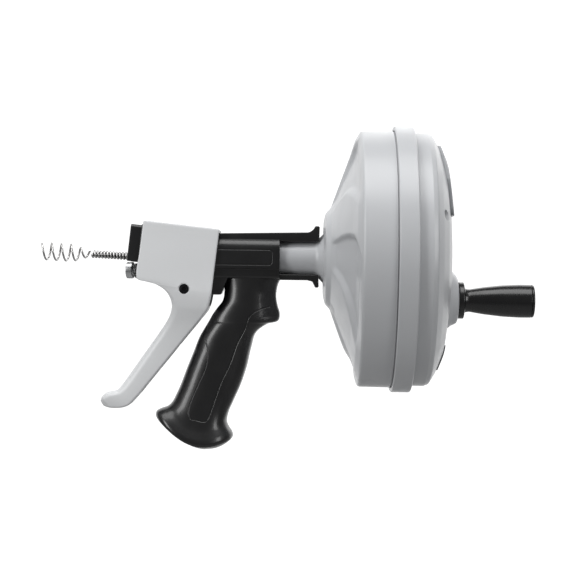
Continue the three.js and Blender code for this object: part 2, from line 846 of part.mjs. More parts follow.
const CHANNEL = [
  [-LONG, HEAD.roof],
  [LONG, HEAD.roof],
  [LONG, -11],
  [-1, -11, 3],
  [-6, -7],
  [-16, 1],
  [-16, -8],
  [-LONG, -8],
];

const LEVER_POCKET = [
  [-5, -24, 2],
  [40, -24],
  [0, -84],
  [-35.5, -84, 2],
];

// The lever narrows from the head's width to a finger's width.
const TRIGGER_FRONT_VIEW = [
  [-HEAD.outer, 60],
  [-HEAD.outer, -10, 20],
  [-11.5, -46, 30],
  [-11.5, -110],
  [11.5, -110],
  [11.5, -46, 30],
  [HEAD.outer, -10, 20],
  [HEAD.outer, 60],
];

const CARRIER_SCREWS = { x: -33, spread: [-9, 9] };

function triggerBody() {
  const outer = plateY(TRIGGER_OUTLINE, -HEAD.outer, HEAD.outer).intersect(
    plateX(TRIGGER_FRONT_VIEW, -LONG, LONG),
  );
  const channel = plateY(CHANNEL, -HEAD.inner, HEAD.inner);
  const ribs = [-44, -64].map((z) => block([-LONG, LONG], [-20, 20], [z - 1, z + 1]));
  const pocket = cut(plateY(LEVER_POCKET, -8.5, 8.5), ...ribs);
  const pinHole = rodY(-30, 30, PIVOT.hole, { x: 0, z: 0 });
  const screwHoles = CARRIER_SCREWS.spread.map((y) => carrierScrewForm(y, 0.3));
  return cut(outer, channel, pocket, pinHole, ...screwHoles);
}

// A countersunk screw through the roof into the roller carrier.
function carrierScrewForm(y, play) {
  const profile = [
    [HEAD.top - 10 - 2 * play, 0],
    [HEAD.top - 10 - 2 * play, 1.6 + play, 0.3],
    [HEAD.top - 2.2, 1.6 + play],
    [HEAD.top - 0.2, 3.2 + play],
    [HEAD.top - 0.2 + 4 * play, 3.2 + play],
    [HEAD.top - 0.2 + 4 * play, 0],
  ];
  const points = outline(profile).map(({ x: z, y: radius }) => new THREE.Vector2(radius, z));
  const geometry = new THREE.LatheGeometry(points, 16);
  return solid(turnedTo(geometry, X, Z, Y.clone().negate()).translate(CARRIER_SCREWS.x, y, 0));
}

// The black nose block: side cheeks and a roof round the upper rollers, and a back plate
// that holds their pins, with a slot for the cable.
function rollerCarrier() {
  const side = HEAD.inner - 0.4;
  const [front, mid, rear] = [-46.8, -38.4, -27];
  const cheekSection = [
    [-side, 16.5],
    [-15.6, 16.5],
    [-15.6, 38.5, 3],
    [15.6, 38.5, 3],
    [15.6, 16.5],
    [side, 16.5],
    [side, 45.4, 2],
    [-side, 45.4, 2],
  ];
  const cheeks = plateX(cheekSection, front, mid);
  const plate = block([mid, rear], [-side, side], [20.6, 46.3]);
  const slot = join(
    block([mid - 1, rear + 1], [-4.3, 4.3], [10, 26]),
    rod(mid - 1, rear + 1, 4.3, { z: 26 }),
  );
  const pinHole = (hand) => skewed(rod(-1, 18, ROLLER.pin + GAP), 0.5, hand * SIN60);
  const pins = [-1, 1].map((hand) => upperPlace(pinHole(hand), hand));
  const screwHoles = CARRIER_SCREWS.spread.map((y) => carrierScrewForm(y, 0.3));
  const topGap = block([-LONG, 0], [-LONG, LONG], [HEAD.roof - GAP, LONG]);
  return cut(join(cheeks, plate), slot, topGap, ...pins, ...screwHoles);
}

const SIN60 = Math.sin(Math.PI / 3);

// An upper roller's place in the trigger's frame, on the left (-1) or the right (+1).
function upperPlace(body, hand) {
  const z = -PIVOT.z + ROLLER.spread * 0.5;
  return body.translate([ROLLER.x - PIVOT.x, hand * ROLLER.spread * SIN60, z]);
}

// ---------------------------------------------------------------------------------------
// Assembly
// ---------------------------------------------------------------------------------------

function drumMeshes() {
  const screws = onDrumScrews(drumScrew);
  const inside = DRUM.backDish - DRUM.wall; // the back shell's inner face
  const { z, headSeat } = KNOB;
  return [
    meshOf("drum_front_shell", drumFrontShell(), FINISH.drumGrey),
    meshOf("drum_back_shell", drumBackShell(), FINISH.drumGrey),
    ...screws.map((screw, i) => meshOf(`drum_screw_${i + 1}`, screw, FINISH.blackSteel)),
    meshOf("label_plate_top", domePlate(LABEL_TOP, GAP, 2.4), FINISH.label),
    meshOf("label_plate_bottom", domePlate(LABEL_BOTTOM, GAP, 1), FINISH.label),
    meshOf("neck_retaining_ring", neckRetainingRing(), FINISH.steel),
    meshOf("cable_coil", cableCoil(), FINISH.steel),
    meshOf("cable_lead_in", tube(leadInPoints(), CABLE.radius, 30, 10), FINISH.steel),
    meshOf("cable_anchor_clip", cableAnchorClip(), FINISH.steel),
    meshOf("anchor_screw", anchorScrew(), FINISH.steel),
    meshOf("knob_spindle", knobSpindle(), FINISH.steel),
    meshOf("spindle_washer", washer(-9.6, -8.3, 3.4, 7, z), FINISH.steel),
    meshOf("spindle_nut", hexNut(inside - 9.3, inside - 4.3, 10, 3.4, z), FINISH.steel),
    meshOf("head_washer", washer(headSeat + GAP, headSeat + 1.6, 4.3, 7.6, z), FINISH.steel),
  ];
}

function knobMeshes() {
  return [
    meshOf("knob", knobBody(), FINISH.black),
    meshOf("knob_end_cap", knobEndCap(), FINISH.black),
  ];
}

function cableMeshes() {
  return [
    meshOf("cable_run", cableRun(), FINISH.steel),
    meshOf("cable_bulb", cableBulb(), FINISH.steel),
  ];
}

function bodyMeshes() {
  const lowerRoller = meshOf("lower_feed_roller", skewed(roller(), -1, 0), FINISH.chrome);
  const lowerPin = meshOf("lower_roller_pin", skewed(rollerPin(14), -1, 0), FINISH.steel);
  for (const mesh of [lowerRoller, lowerPin]) mesh.position.set(ROLLER.x, 0, ROLLER.lowerZ);
  return [
    meshOf("body_left_shell", bodyShell(-1), FINISH.black),
    meshOf("body_right_shell", bodyShell(1), FINISH.black),
    ...BODY_SCREWS.map((place, i) => meshOf(`body_screw_${i + 1}`, bodyScrew(place), FINISH.blackSteel)),
    meshOf("cable_guide", cableGuide(), FINISH.nylon),
    meshOf("neck_bushing", neckBushing(), FINISH.nylon),
    meshOf("pivot_pin", pivotPin(), FINISH.blackSteel),
    meshOf("pivot_clip", pivotClip(), FINISH.steel),
    meshOf("trigger_return_spring", triggerReturnSpring(), FINISH.steel),
    lowerRoller,
    lowerPin,
  ];
}

function triggerGroup() {
  const group = new THREE.Group();
  group.position.set(PIVOT.x, 0, PIVOT.z);
  group.rotation.y = PIVOT.tilt;
  group.add(meshOf("trigger", triggerBody(), FINISH.triggerGrey));
  group.add(meshOf("roller_carrier", rollerCarrier(), FINISH.black));
  for (const [hand, side] of [[-1, "left"], [1, "right"]]) {
    const place = (body) => upperPlace(skewed(body, 0.5, hand * SIN60), hand);
    group.add(meshOf(`upper_feed_roller_${side}`, place(roller()), FINISH.chrome));
    group.add(meshOf(`upper_roller_pin_${side}`, place(rollerPin(15)), FINISH.steel));
  }
  CARRIER_SCREWS.spread.forEach((y, i) => {
    group.add(meshOf(`carrier_screw_${i + 1}`, carrierScrewForm(y, 0), FINISH.blackSteel));
  });
  return group;
}

const drainSnake = new THREE.Group();
drainSnake.add(...drumMeshes(), ...knobMeshes(), ...cableMeshes(), ...bodyMeshes(), triggerGroup());

export default drainSnake;
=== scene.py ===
"""Hand-held drain snake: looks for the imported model, built round its CAD bodies.

Every mesh is worked out in millimetres, in the CAD's own frame, and written in metres.
"""

import json
import logging
import math
from dataclasses import dataclass
from enum import Enum
from typing import Callable, Iterable, Sequence

import bmesh
import bpy
from mathutils import Matrix, Vector
from mathutils.bvhtree import BVHTree


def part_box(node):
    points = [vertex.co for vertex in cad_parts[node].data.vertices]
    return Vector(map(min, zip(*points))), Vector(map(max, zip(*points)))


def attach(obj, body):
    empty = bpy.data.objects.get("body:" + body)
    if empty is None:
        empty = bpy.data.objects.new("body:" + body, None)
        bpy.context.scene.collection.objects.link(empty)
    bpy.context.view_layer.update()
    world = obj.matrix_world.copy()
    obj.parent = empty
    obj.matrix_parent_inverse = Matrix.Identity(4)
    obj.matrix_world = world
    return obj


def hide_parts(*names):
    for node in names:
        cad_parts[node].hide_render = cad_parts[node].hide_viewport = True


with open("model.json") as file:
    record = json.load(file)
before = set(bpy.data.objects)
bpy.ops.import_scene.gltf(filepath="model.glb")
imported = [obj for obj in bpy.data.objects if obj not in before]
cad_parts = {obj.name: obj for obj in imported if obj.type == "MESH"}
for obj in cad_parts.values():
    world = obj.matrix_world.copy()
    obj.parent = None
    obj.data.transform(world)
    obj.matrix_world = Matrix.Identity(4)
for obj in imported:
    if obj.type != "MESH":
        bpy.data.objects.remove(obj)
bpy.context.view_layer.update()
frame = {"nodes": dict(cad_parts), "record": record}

MM = 0.001
FINE_ARC = math.radians(7.5)
log = logging.getLogger("drain_snake")

Corner = tuple[float, ...]
Point = tuple[float, float]
Row = tuple[float, ...]


# --- Places from the CAD frame ---


def box(node: str) -> tuple[Vector, Vector]:
    """Lowest and highest corner of a CAD node, in millimetres."""
    low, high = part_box(node)
    return Vector(low) / MM, Vector(high) / MM


def middle(node: str) -> Vector:
    """Middle of a CAD node's box, in millimetres."""
    low, high = box(node)
    return (low + high) / 2


def joint(name: str) -> tuple[Vector, Vector]:
    """Place and axis of a joint.

    Args:
        name: The joint's name in the record.
    Returns:
        Its point in millimetres, and its unit axis.
    """
    found = next(j for j in frame["record"]["behaviour"]["joints"] if j["name"] == name)
    return Vector(found["pos_m"]) / MM, Vector(found["axis"]).normalized()


# --- Outlines and numbers ---


def ease(value: float, low: float, high: float) -> float:
    """Smooth step from 0 at low to 1 at high; low may be the larger."""
    t = min(max((value - low) / (high - low), 0.0), 1.0)
    return t * t * (3 - 2 * t)


def rounded(corners: Sequence[Corner], step: float = FINE_ARC) -> list[Point]:
    """Closed outline from its corners.

    Args:
        corners: Corners (u, v) or (u, v, radius).
        step: Largest turn between two points of an arc.
    Returns:
        The outline's points, with each radius as an arc.
    """
    points: list[Point] = []
    for i, entry in enumerate(corners):
        corner = Vector(entry[:2])
        radius = entry[2] if len(entry) > 2 else 0
        if not radius:
            points.append(tuple(corner))
            continue
        back = (Vector(corners[i - 1][:2]) - corner).normalized()
        ahead = (Vector(corners[(i + 1) % len(corners)][:2]) - corner).normalized()
        half = math.acos(min(max(back.dot(ahead), -1.0), 1.0)) / 2
        centre = corner + (back + ahead).normalized() * (radius / math.sin(half))
        start = corner + back * (radius / math.tan(half)) - centre
        turn = (math.pi - 2 * half) * -math.copysign(1, back.cross(ahead))
        steps = max(1, math.ceil(abs(turn) / step))
        for k in range(steps + 1):
            points.append(tuple(centre + Matrix.Rotation(turn * k / steps, 2) @ start))
    return points


def around(x: float, radius: float, angle: float, height: float = 0.0) -> Vector:
    """A point round the X axis, its angle counted from +Y towards +Z."""
    return Vector((x, radius * math.cos(angle), height + radius * math.sin(angle)))


def dense(points: Sequence[Point], spacing: float, closed: bool = False) -> list[Point]:
    """The same line with no step longer than the spacing."""
    result: list[Point] = []
    ends = list(points[1:]) + ([points[0]] if closed else [])
    for start, end in zip(points, ends):
        count = max(1, math.ceil(math.dist(start, end) / spacing))
        result += [tuple(Vector(start).lerp(Vector(end), k / count)) for k in range(count)]
    return result if closed else result + [tuple(points[-1])]


def smooth_rows(rows: Sequence[Row], spacing: float) -> list[Row]:
    """Rows of numbers joined by a smooth curve.

    Args:
        rows: Rows of equal length; the first four numbers are two XZ points.
        spacing: About how far apart the new rows are, in millimetres.
    Returns:
        The denser rows.
    """
    knots = [0.0]
    for last, row in zip(rows, rows[1:]):
        knots.append(knots[-1] + max(math.dist(last[:2], row[:2]), math.dist(last[2:4], row[2:4])))
    slopes = []
    for i, row in enumerate(rows):
        before, after = max(i - 1, 0), min(i + 1, len(rows) - 1)
        if before == i or after == i:
            span = knots[after] - knots[before]
            slopes.append([(b - a) / span for a, b in zip(rows[before], rows[after])])
            continue
        d0, d1 = knots[i] - knots[before], knots[after] - knots[i]
        slopes.append([
            ((b - m) / d1 * d0 + (m - a) / d0 * d1) / (d0 + d1)
            for a, m, b in zip(rows[before], row, rows[after])
        ])
    result: list[Row] = []
    for i in range(len(rows) - 1):
        span = knots[i + 1] - knots[i]
        count = max(1, round(span / spacing))
        for k in range(count):
            t = k / count
            blend = 3 * t**2 - 2 * t**3
            leave, arrive = (t**3 - 2 * t**2 + t) * span, (t**3 - t**2) * span
            result.append(tuple(
                (1 - blend) * a + leave * slope_a + blend * b + arrive * slope_b
                for a, slope_a, b, slope_b in zip(rows[i], slopes[i], rows[i + 1], slopes[i + 1])
            ))
    return result + [tuple(rows[-1])]


# --- Meshes ---


class Form:
    """A mesh in the making, in millimetres."""

    def __init__(self, name: str, points: Iterable[Sequence[float]], faces: Iterable[Sequence[int]]) -> None:
        """Makes the mesh and turns its faces outwards.

        Args:
            name: The piece's name.
            points: Vertex places.
            faces: Vertex numbers of each face.
        """
        mesh = bpy.data.meshes.new(name)
        mesh.from_pydata([tuple(p) for p in points], [], [tuple(f) for f in faces])
        build = bmesh.new()
        build.from_mesh(mesh)
        bmesh.ops.remove_doubles(build, verts=build.verts, dist=1e-4)
        bmesh.ops.recalc_face_normals(build, faces=build.faces)
        build.to_mesh(mesh)
        build.free()
        self.object = bpy.data.objects.new(name, mesh)
        bpy.context.scene.collection.objects.link(self.object)

    def apply(self) -> "Form":
        """Makes the modifiers part of the mesh."""
        bpy.context.view_layer.update()
        graph = bpy.context.evaluated_depsgraph_get()
        mesh = bpy.data.meshes.new_from_object(self.object.evaluated_get(graph))
        self.object.modifiers.clear()
        old, self.object.data = self.object.data, mesh
        bpy.data.meshes.remove(old)
        return self

    def _combine(self, operation: str, others: Sequence["Form"]) -> "Form":
        """Joins, cuts or intersects with other forms, which are used up."""
        for other in others:
            change = self.object.modifiers.new(operation, "BOOLEAN")
            change.operation = operation
            change.solver = "MANIFOLD"
            change.object = other.object
        self.apply()
        for other in others:
            bpy.data.objects.remove(other.object)
        return self

    def join(self, *others: "Form") -> "Form":
        """Adds other forms."""
        return self._combine("UNION", others)

    def cut(self, *others: "Form") -> "Form":
        """Takes other forms away."""
        return self._combine("DIFFERENCE", others)

    def keep(self, *others: "Form") -> "Form":
        """Keeps what is inside every other form."""
        return self._combine("INTERSECT", others)

    def bevel(self, width: float, segments: int = 3, angle: float = 35) -> "Form":
        """Rounds the edges that turn by more than the angle, in degrees."""
        change = self.object.modifiers.new("edge", "BEVEL")
        change.width = width
        change.segments = segments
        change.limit_method = "ANGLE"
        change.angle_limit = math.radians(angle)
        return self.apply()

    def shape(self, move: Callable[[Vector], Vector]) -> "Form":
        """Moves every vertex."""
        for vertex in self.object.data.vertices:
            vertex.co = move(vertex.co.copy())
        return self

    def place(self, matrix: Matrix) -> "Form":
        """Moves the whole mesh."""
        self.object.data.transform(matrix)
        return self

    def copy(self, name: str) -> "Form":
        """Another form with the same mesh."""
        twin = Form(name, [], [])
        twin.object.data = self.object.data.copy()
        return twin

    def surface_at(self, start: Vector, direction: Vector) -> Vector:
        """Where a ray first meets the form."""
        bpy.context.view_layer.update()
        tree = BVHTree.FromObject(self.object, bpy.context.evaluated_depsgraph_get())
        return tree.ray_cast(start, direction)[0]

    def dress(self, finish: "Finish", body: str, *nodes: str, angle: float = 38) -> bpy.types.Object:
        """Finishes the piece: its material, its body and the CAD nodes that it stands for.

        Args:
            finish: The finish, whose material the piece gets.
            body: The CAD body that it rides on.
            nodes: The CAD nodes that it replaces.
            angle: Edges that turn more than this, in degrees, stay sharp.
        Returns:
            The finished object.
        """
        mesh = self.object.data
        mesh.transform(Matrix.Scale(MM, 4))
        mesh.shade_smooth()
        mesh.set_sharp_from_angle(angle=math.radians(angle))
        mesh.materials.clear()
        mesh.materials.append(finish.material())
        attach(self.object, body)
        if nodes:
            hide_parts(*nodes)
        log.info("%s: %d faces on %s", self.object.name, len(mesh.polygons), body)
        return self.object


def grid(rings: Sequence[Sequence[Vector]], closed: bool) -> tuple[list[Vector], list[tuple[int, ...]]]:
    """Vertices and faces of rings of equal length.

    Args:
        rings: The rings, each a closed loop.
        closed: True where the last ring meets the first, as in a torus.
    Returns:
        The points, and the faces with both ends capped when the rings are open.
    """
    size = len(rings[0])
    points = [p for ring in rings for p in ring]
    faces: list[tuple[int, ...]] = []
    for i in range(len(rings) if closed else len(rings) - 1):
        a, b = i * size, (i + 1) % len(rings) * size
        faces += [(a + k, a + (k + 1) % size, b + (k + 1) % size, b + k) for k in range(size)]
    if not closed:
        for start in (0, (len(rings) - 1) * size):
            hub = len(points)
            points.append(sum((points[start + k] for k in range(size)), Vector()) / size)
            faces += [(start + k, start + (k + 1) % size, hub) for k in range(size)]
    return points, faces


def lathe(name: str, profile: Sequence[Corner], at: Sequence[float] = (0, 0, 0),
          axis: Sequence[float] = (1, 0, 0), segments: int = 64, spacing: float = 0.0) -> Form:
    """A turned form.

    Args:
        name: The piece's name.
        profile: Corners (along the axis, radius, rounding).
        at: A point on the axis, from which the profile counts.
        axis: Direction of the axis.
        segments: Steps round the axis.
        spacing: Longest step along the profile, or 0 for no limit.
    Returns:
        The closed form; a profile that leaves the axis open closes on itself.
    """
    line = rounded(profile)
    on_axis = line[0][1] < 1e-6 and line[-1][1] < 1e-6
    if spacing:
        line = dense(line, spacing, closed=not on_axis)
    size = len(line)
    points = []
    for s in range(segments):
        angle = 2 * math.pi * s / segments
        points += [(x, -r * math.cos(angle), r * math.sin(angle)) for x, r in line]
    faces = []
    for s in range(segments):
        a, b = s * size, (s + 1) % segments * size
        steps = range(size - 1) if on_axis else range(size)
        faces += [(a + k, a + (k + 1) % size, b + (k + 1) % size, b + k) for k in steps]
    form = Form(name, points, faces)
    turn = Vector((1, 0, 0)).rotation_difference(Vector(axis)).to_matrix().to_4x4()
    return form.place(Matrix.Translation(Vector(at)) @ turn)


class Across(Enum):
    """The axis that a prism is extruded along."""

    X = "X"
    Y = "Y"
    Z = "Z"

    def point(self, u: float, v: float, depth: float) -> Vector:
        """The point of an outline's (u, v) at a depth along this axis."""
        if self is Across.X:
            return Vector((depth, u, v))
        if self is Across.Y:
            return Vector((u, depth, v))
        return Vector((u, v, depth))


def prism(name: str, corners: Sequence[Corner], across: Across, low: float, high: float) -> Form:
    """An outline extruded from low to high along an axis."""
    line = rounded(corners)
    size = len(line)
    points = [across.point(u, v, depth) for depth in (low, high) for u, v in line]
    faces = [(k, (k + 1) % size, size + (k + 1) % size, size + k) for k in range(size)]
    faces += [tuple(range(size)), tuple(range(size, 2 * size))]
    return Form(name, points, faces)


def block(name: str, low: Sequence[float], high: Sequence[float]) -> Form:
    """A box between two corners, for cutting."""
    outline = [(low[0], low[2]), (high[0], low[2]), (high[0], high[2]), (low[0], high[2])]
    return prism(name, outline, Across.Y, low[1], high[1])


def rod(name: str, start: Sequence[float], end: Sequence[float], radius: float, segments: int = 40) -> Form:
    """A round bar between two points."""
    length = math.dist(start, end)
    along = Vector(end) - Vector(start)
    profile = [(0, 0), (0, radius), (length, radius), (length, 0)]
    return lathe(name, profile, start, along.normalized(), segments)


def sweep(name: str, path: Sequence[Vector], radius: float, sides: int = 8, closed: bool = False) -> Form:
    """A round wire along a path, with domed ends.

    Args:
        name: The piece's name.
        path: Points of the wire's middle.
        radius: The wire's radius.
        sides: Sides of its section.
        closed: True where the path is a flat loop.
    Returns:
        The closed form.
    """
    last = len(path) - 1
    normal = (path[1] - path[0]).normalized().orthogonal().normalized()
    rings = []
    for i, point in enumerate(path):
        ahead = path[(i + 1) % len(path)] if closed else path[min(i + 1, last)]
        behind = path[i - 1] if closed else path[max(i - 1, 0)]
        direction = (ahead - behind).normalized()
        normal = (normal - direction * normal.dot(direction)).normalized()
        other = direction.cross(normal)
        size = radius * (0.55 if i in (0, last) and not closed else 1.0)
        rings.append([
            point + (normal * math.cos(a) + other * math.sin(a)) * size
            for a in (2 * math.pi * k / sides for k in range(sides))
        ])
    return Form(name, *grid(rings, closed))


def follow(table: Sequence[Point], at: float) -> float:
    """The value at a place in a table of (place, value) pairs, held at its ends."""
    for (x0, y0), (x1, y1) in zip(table, table[1:]):
        if at < x1:
            return y0 + (y1 - y0) * min(max((at - x0) / (x1 - x0), 0.0), 1.0)
    return table[-1][1]


# --- Shader maths ---


class Value:
    """A shader socket that takes part in Python arithmetic."""

    def __init__(self, surface: "Surface", socket: bpy.types.NodeSocket) -> None:
        """Wraps a socket of a surface's node tree."""
        self.surface = surface
        self.socket = socket

    def _with(self, operation: str, first: object, second: object) -> "Value":
        """One maths node on two sockets or numbers."""
        return self.surface.node("ShaderNodeMath", {"operation": operation}, {0: first, 1: second})

    def __add__(self, other: object) -> "Value":
        """self + other."""
        return self._with("ADD", self, other)

    def __radd__(self, other: object) -> "Value":
        """other + self."""
        return self._with("ADD", other, self)

    def __sub__(self, other: object) -> "Value":
        """self - other."""
        return self._with("SUBTRACT", self, other)

    def __rsub__(self, other: object) -> "Value":
        """other - self."""
        return self._with("SUBTRACT", other, self)

    def __mul__(self, other: object) -> "Value":
        """self * other."""
        return self._with("MULTIPLY", self, other)

    def __rmul__(self, other: object) -> "Value":
        """other * self."""
        return self._with("MULTIPLY", other, self)

    def most(self, other: object) -> "Value":
        """The larger of the two."""
        return self._with("MAXIMUM", self, other)

    def between(self, low: float, high: float) -> "Value":
        """Smooth mask: 0 at low and 1 at high."""
        inputs = {"Value": self, "From Min": low, "From Max": high}
        return self.surface.node("ShaderNodeMapRange", {"interpolation_type": "SMOOTHSTEP"}, inputs)


class Surface:
    """A material in the making: its node tree and its main shader."""

    def __init__(self, name: str) -> None:
        """Starts a material with one principled shader."""
        self.material = bpy.data.materials.new(name)
        self.material.use_nodes = True
        self.tree = self.material.node_tree
        self.shader = next(n for n in self.tree.nodes if n.type == "BSDF_PRINCIPLED")
        self.place = self.node("ShaderNodeTexCoord", {}, {}, "Object")

    def node(self, kind: str, settings: dict[str, object], inputs: dict[object, object],
             output: object = 0) -> Value:
        """Adds one node.

        Args:
            kind: The node's type.
            settings: Its properties; "stops" sets a ramp's (position, colour) pairs.
            inputs: What each socket gets, by name or number: a Value, a number or a tuple.
            output: Name or number of the socket wanted.
        Returns:
            That output.
        """
        made = self.tree.nodes.new(kind)
        for name, setting in settings.items():
            if name == "stops":
                self._set_stops(made.color_ramp, setting)
            else:
                setattr(made, name, setting)
        for name, value in inputs.items():
            self.feed(made.inputs[name], value)
        return Value(self, made.outputs[output])

    @staticmethod
    def _set_stops(ramp: bpy.types.ColorRamp, stops: Sequence[tuple[float, Sequence[float]]]) -> None:
        """Gives a ramp its stops."""
        while len(ramp.elements) < len(stops):
            ramp.elements.new(0.5)
        for element, (position, color) in zip(ramp.elements, stops):
            element.position = position
            element.color = (*color, 1)

    def feed(self, socket: bpy.types.NodeSocket, value: object) -> None:
        """Links or sets one input."""
        if isinstance(value, Value):
            self.tree.links.new(value.socket, socket)
        else:
            socket.default_value = value

    def set(self, **inputs: object) -> None:
        """Links or sets inputs of the main shader; an underscore stands for a space."""
        for name, value in inputs.items():
            self.feed(self.shader.inputs[name.replace("_", " ")], value)

    def noise(self, scale: float, detail: float = 3, stretch: Sequence[float] = (1, 1, 1)) -> Value:
        """Fractal noise about 0.5, with its scale in features a metre."""
        sizes = tuple(scale * s for s in stretch)
        where = self.node("ShaderNodeMapping", {}, {"Vector": self.place, "Scale": sizes})
        return self.node("ShaderNodeTexNoise", {}, {"Vector": where, "Scale": 1.0, "Detail": detail})

    def along(self, axis: str) -> Value:
        """The surface's own coordinate along an axis, in metres."""
        return self.node("ShaderNodeSeparateXYZ", {}, {0: self.place}, axis)

    def mix(self, factor: object, first: object, second: object) -> Value:
        """Mixes two colours."""
        return self.node("ShaderNodeMix", {"data_type": "RGBA"}, {0: factor, 6: first, 7: second}, 2)

    def bump(self, height: Value, strength: float, distance: float) -> None:
        """Gives the main shader a bumpy normal; the distance is in metres."""
        inputs = {"Height": height, "Strength": strength, "Distance": distance}
        self.set(Normal=self.node("ShaderNodeBump", {}, inputs))


@dataclass(frozen=True)
class Finish:
    """What every finish has: a name, the record's slot and a colour."""

    name: str
    slot: str
    color: tuple[float, float, float]

    def material(self) -> bpy.types.Material:
        """The finish's material, made once."""
        return bpy.data.materials.get(self.name) or self.build(Surface(self.name)).material

    def build(self, surface: Surface) -> Surface:
        """Fills in the node tree."""
        raise NotImplementedError

    def tint(self, shift: float) -> tuple[float, float, float, float]:
        """The colour made lighter or darker by a factor."""
        return (*(min(1.0, c * shift) for c in self.color), 1.0)


@dataclass(frozen=True)
class MouldedPlastic(Finish):
    """Injection-moulded plastic: faint flow marks, fine grain and rubbed patches."""

    roughness: float = 0.36
    grain: float = 0.12
    grain_scale: float = 2600.0
    coat: float = 0.0
    variation: float = 0.035

    def build(self, surface: Surface) -> Surface:
        """Fills in the node tree."""
        flow = surface.noise(14, 2, (0.35, 1, 1)).between(0.3, 0.7)
        rubbed = surface.noise(60, 4).between(0.35, 0.75)
        grain = surface.noise(self.grain_scale, 2)
        scratches = surface.noise(900, 1, (1, 0.06, 1)).between(0.66, 0.74)
        base = surface.mix(flow, self.tint(1 - self.variation), self.tint(1 + self.variation))
        surface.set(
            Base_Color=surface.mix(scratches * 0.12, base, self.tint(1.25)),
            Roughness=self.roughness + (rubbed - 0.5) * 0.08 + scratches * 0.05,
            Coat_Weight=self.coat,
            Coat_Roughness=0.12,
            IOR=1.5,
        )
        surface.bump(grain + rubbed * 0.3, self.grain, 0.00012)
        return surface


@dataclass(frozen=True)
class Metal(Finish):
    """Bare or plated metal with fine working marks."""

    roughness: float = 0.28
    stretch: tuple[float, float, float] = (1, 1, 1)
    marks: float = 0.15
    dark: float = 0.6

    def build(self, surface: Surface) -> Surface:
        """Fills in the node tree."""
        brushed = surface.noise(1500, 3, self.stretch)
        stain = surface.noise(120, 4).between(0.4, 0.7)
        surface.set(
            Base_Color=surface.mix(stain * 0.5, self.tint(1.0), self.tint(self.dark)),
            Metallic=1.0,
            Roughness=self.roughness + (brushed - 0.5) * 0.25 + stain * 0.06,
        )
        surface.bump(brushed, self.marks, 0.00005)
        return surface


@dataclass(frozen=True)
class BlackedSteel(Finish):
    """Black oxide steel, worn a little on its high spots."""

    roughness: float = 0.38

    def build(self, surface: Surface) -> Surface:
        """Fills in the node tree."""
        worn = surface.noise(700, 4).between(0.62, 0.75)
        surface.set(
            Base_Color=surface.mix(worn * 0.4, self.tint(1.0), (0.16, 0.16, 0.17, 1)),
            Metallic=0.85,
            Roughness=self.roughness + (worn - 0.5) * 0.1,
        )
        surface.bump(surface.noise(2200, 2), 0.12, 0.0001)
        return surface


@dataclass(frozen=True)
class PrintedLabel(Finish):
    """A satin label, with plain pale bars where a printed one has its words."""

    bars: tuple[tuple[float, float, float, float], ...] = ()

    def build(self, surface: Surface) -> Surface:
        """Fills in the node tree."""
        paper = surface.noise(3000, 3)
        side, height = surface.along("Y"), surface.along("Z")
        ink: object = None
        for y0, y1, z0, z1 in self.bars:
            edge = 0.0003
            across = side.between(y0 - edge, y0) * (1 - side.between(y1, y1 + edge))
            bar = across * height.between(z0 - edge, z0) * (1 - height.between(z1, z1 + edge))
            ink = bar if ink is None else ink.most(bar)
        base = surface.mix(paper, self.tint(0.95), self.tint(1.05))
        if ink is not None:
            base = surface.mix(ink, base, (0.8, 0.81, 0.82, 1))
        surface.set(Base_Color=base, Roughness=0.42 + (paper - 0.5) * 0.1)
        surface.bump(paper, 0.08, 0.0001)
        return surface


class Finishes:
    """Every finish of the drain snake."""

    drum = MouldedPlastic("drum_plastic", "drum_grey", (0.48, 0.49, 0.505), roughness=0.34)
    trigger = MouldedPlastic("trigger_plastic", "trigger_grey", (0.66, 0.67, 0.68), roughness=0.42)
    body = MouldedPlastic("body_plastic", "body_black", (0.0055, 0.0055, 0.006),
                          roughness=0.34, grain=0.1, grain_scale=1500.0, coat=0.25, variation=0.1)
    knob = MouldedPlastic("knob_plastic", "knob_black", (0.004, 0.004, 0.0045),
                          roughness=0.28, grain=0.06, grain_scale=1800.0, coat=0.2, variation=0.1)
    nylon = MouldedPlastic("nylon", "nylon", (0.72, 0.69, 0.6), roughness=0.45, grain=0.1)
    wire = Metal("spring_wire", "cable_steel", (0.5, 0.495, 0.49), roughness=0.26)
    # Painted shade: near-black metal for a rod inside the cable's winding, standing in for the shade between
    # its turns.
    painted_shade_rod = Metal("cable_painted_shade", "cable_steel", (0.03, 0.03, 0.033), roughness=0.55)
    chrome = Metal("bearing_chrome", "roller_chrome", (0.56, 0.57, 0.58),
                   roughness=0.22, stretch=(4, 1, 1), marks=0.05, dark=0.8)
    zinc = Metal("zinc_plate", "steel", (0.55, 0.56, 0.57), roughness=0.3, marks=0.12, dark=0.8)
    blacked = BlackedSteel("blacked_steel", "black_steel", (0.018, 0.018, 0.02))
    label = PrintedLabel("back_label", "label_grey", (0.27, 0.28, 0.295), (
        (-0.0515, -0.0465, 0.040, 0.056),
        (-0.0435, -0.0365, 0.040, 0.066),
        (-0.032, -0.024, 0.047, 0.062),
        (-0.034, -0.012, 0.068, 0.0735),
        (0.012, 0.034, 0.068, 0.0735),
        (-0.02, 0.02, 0.04, 0.0425),
    ))
    sticker = PrintedLabel("back_sticker", "label_grey", (0.05, 0.052, 0.056))


# --- Studio ---


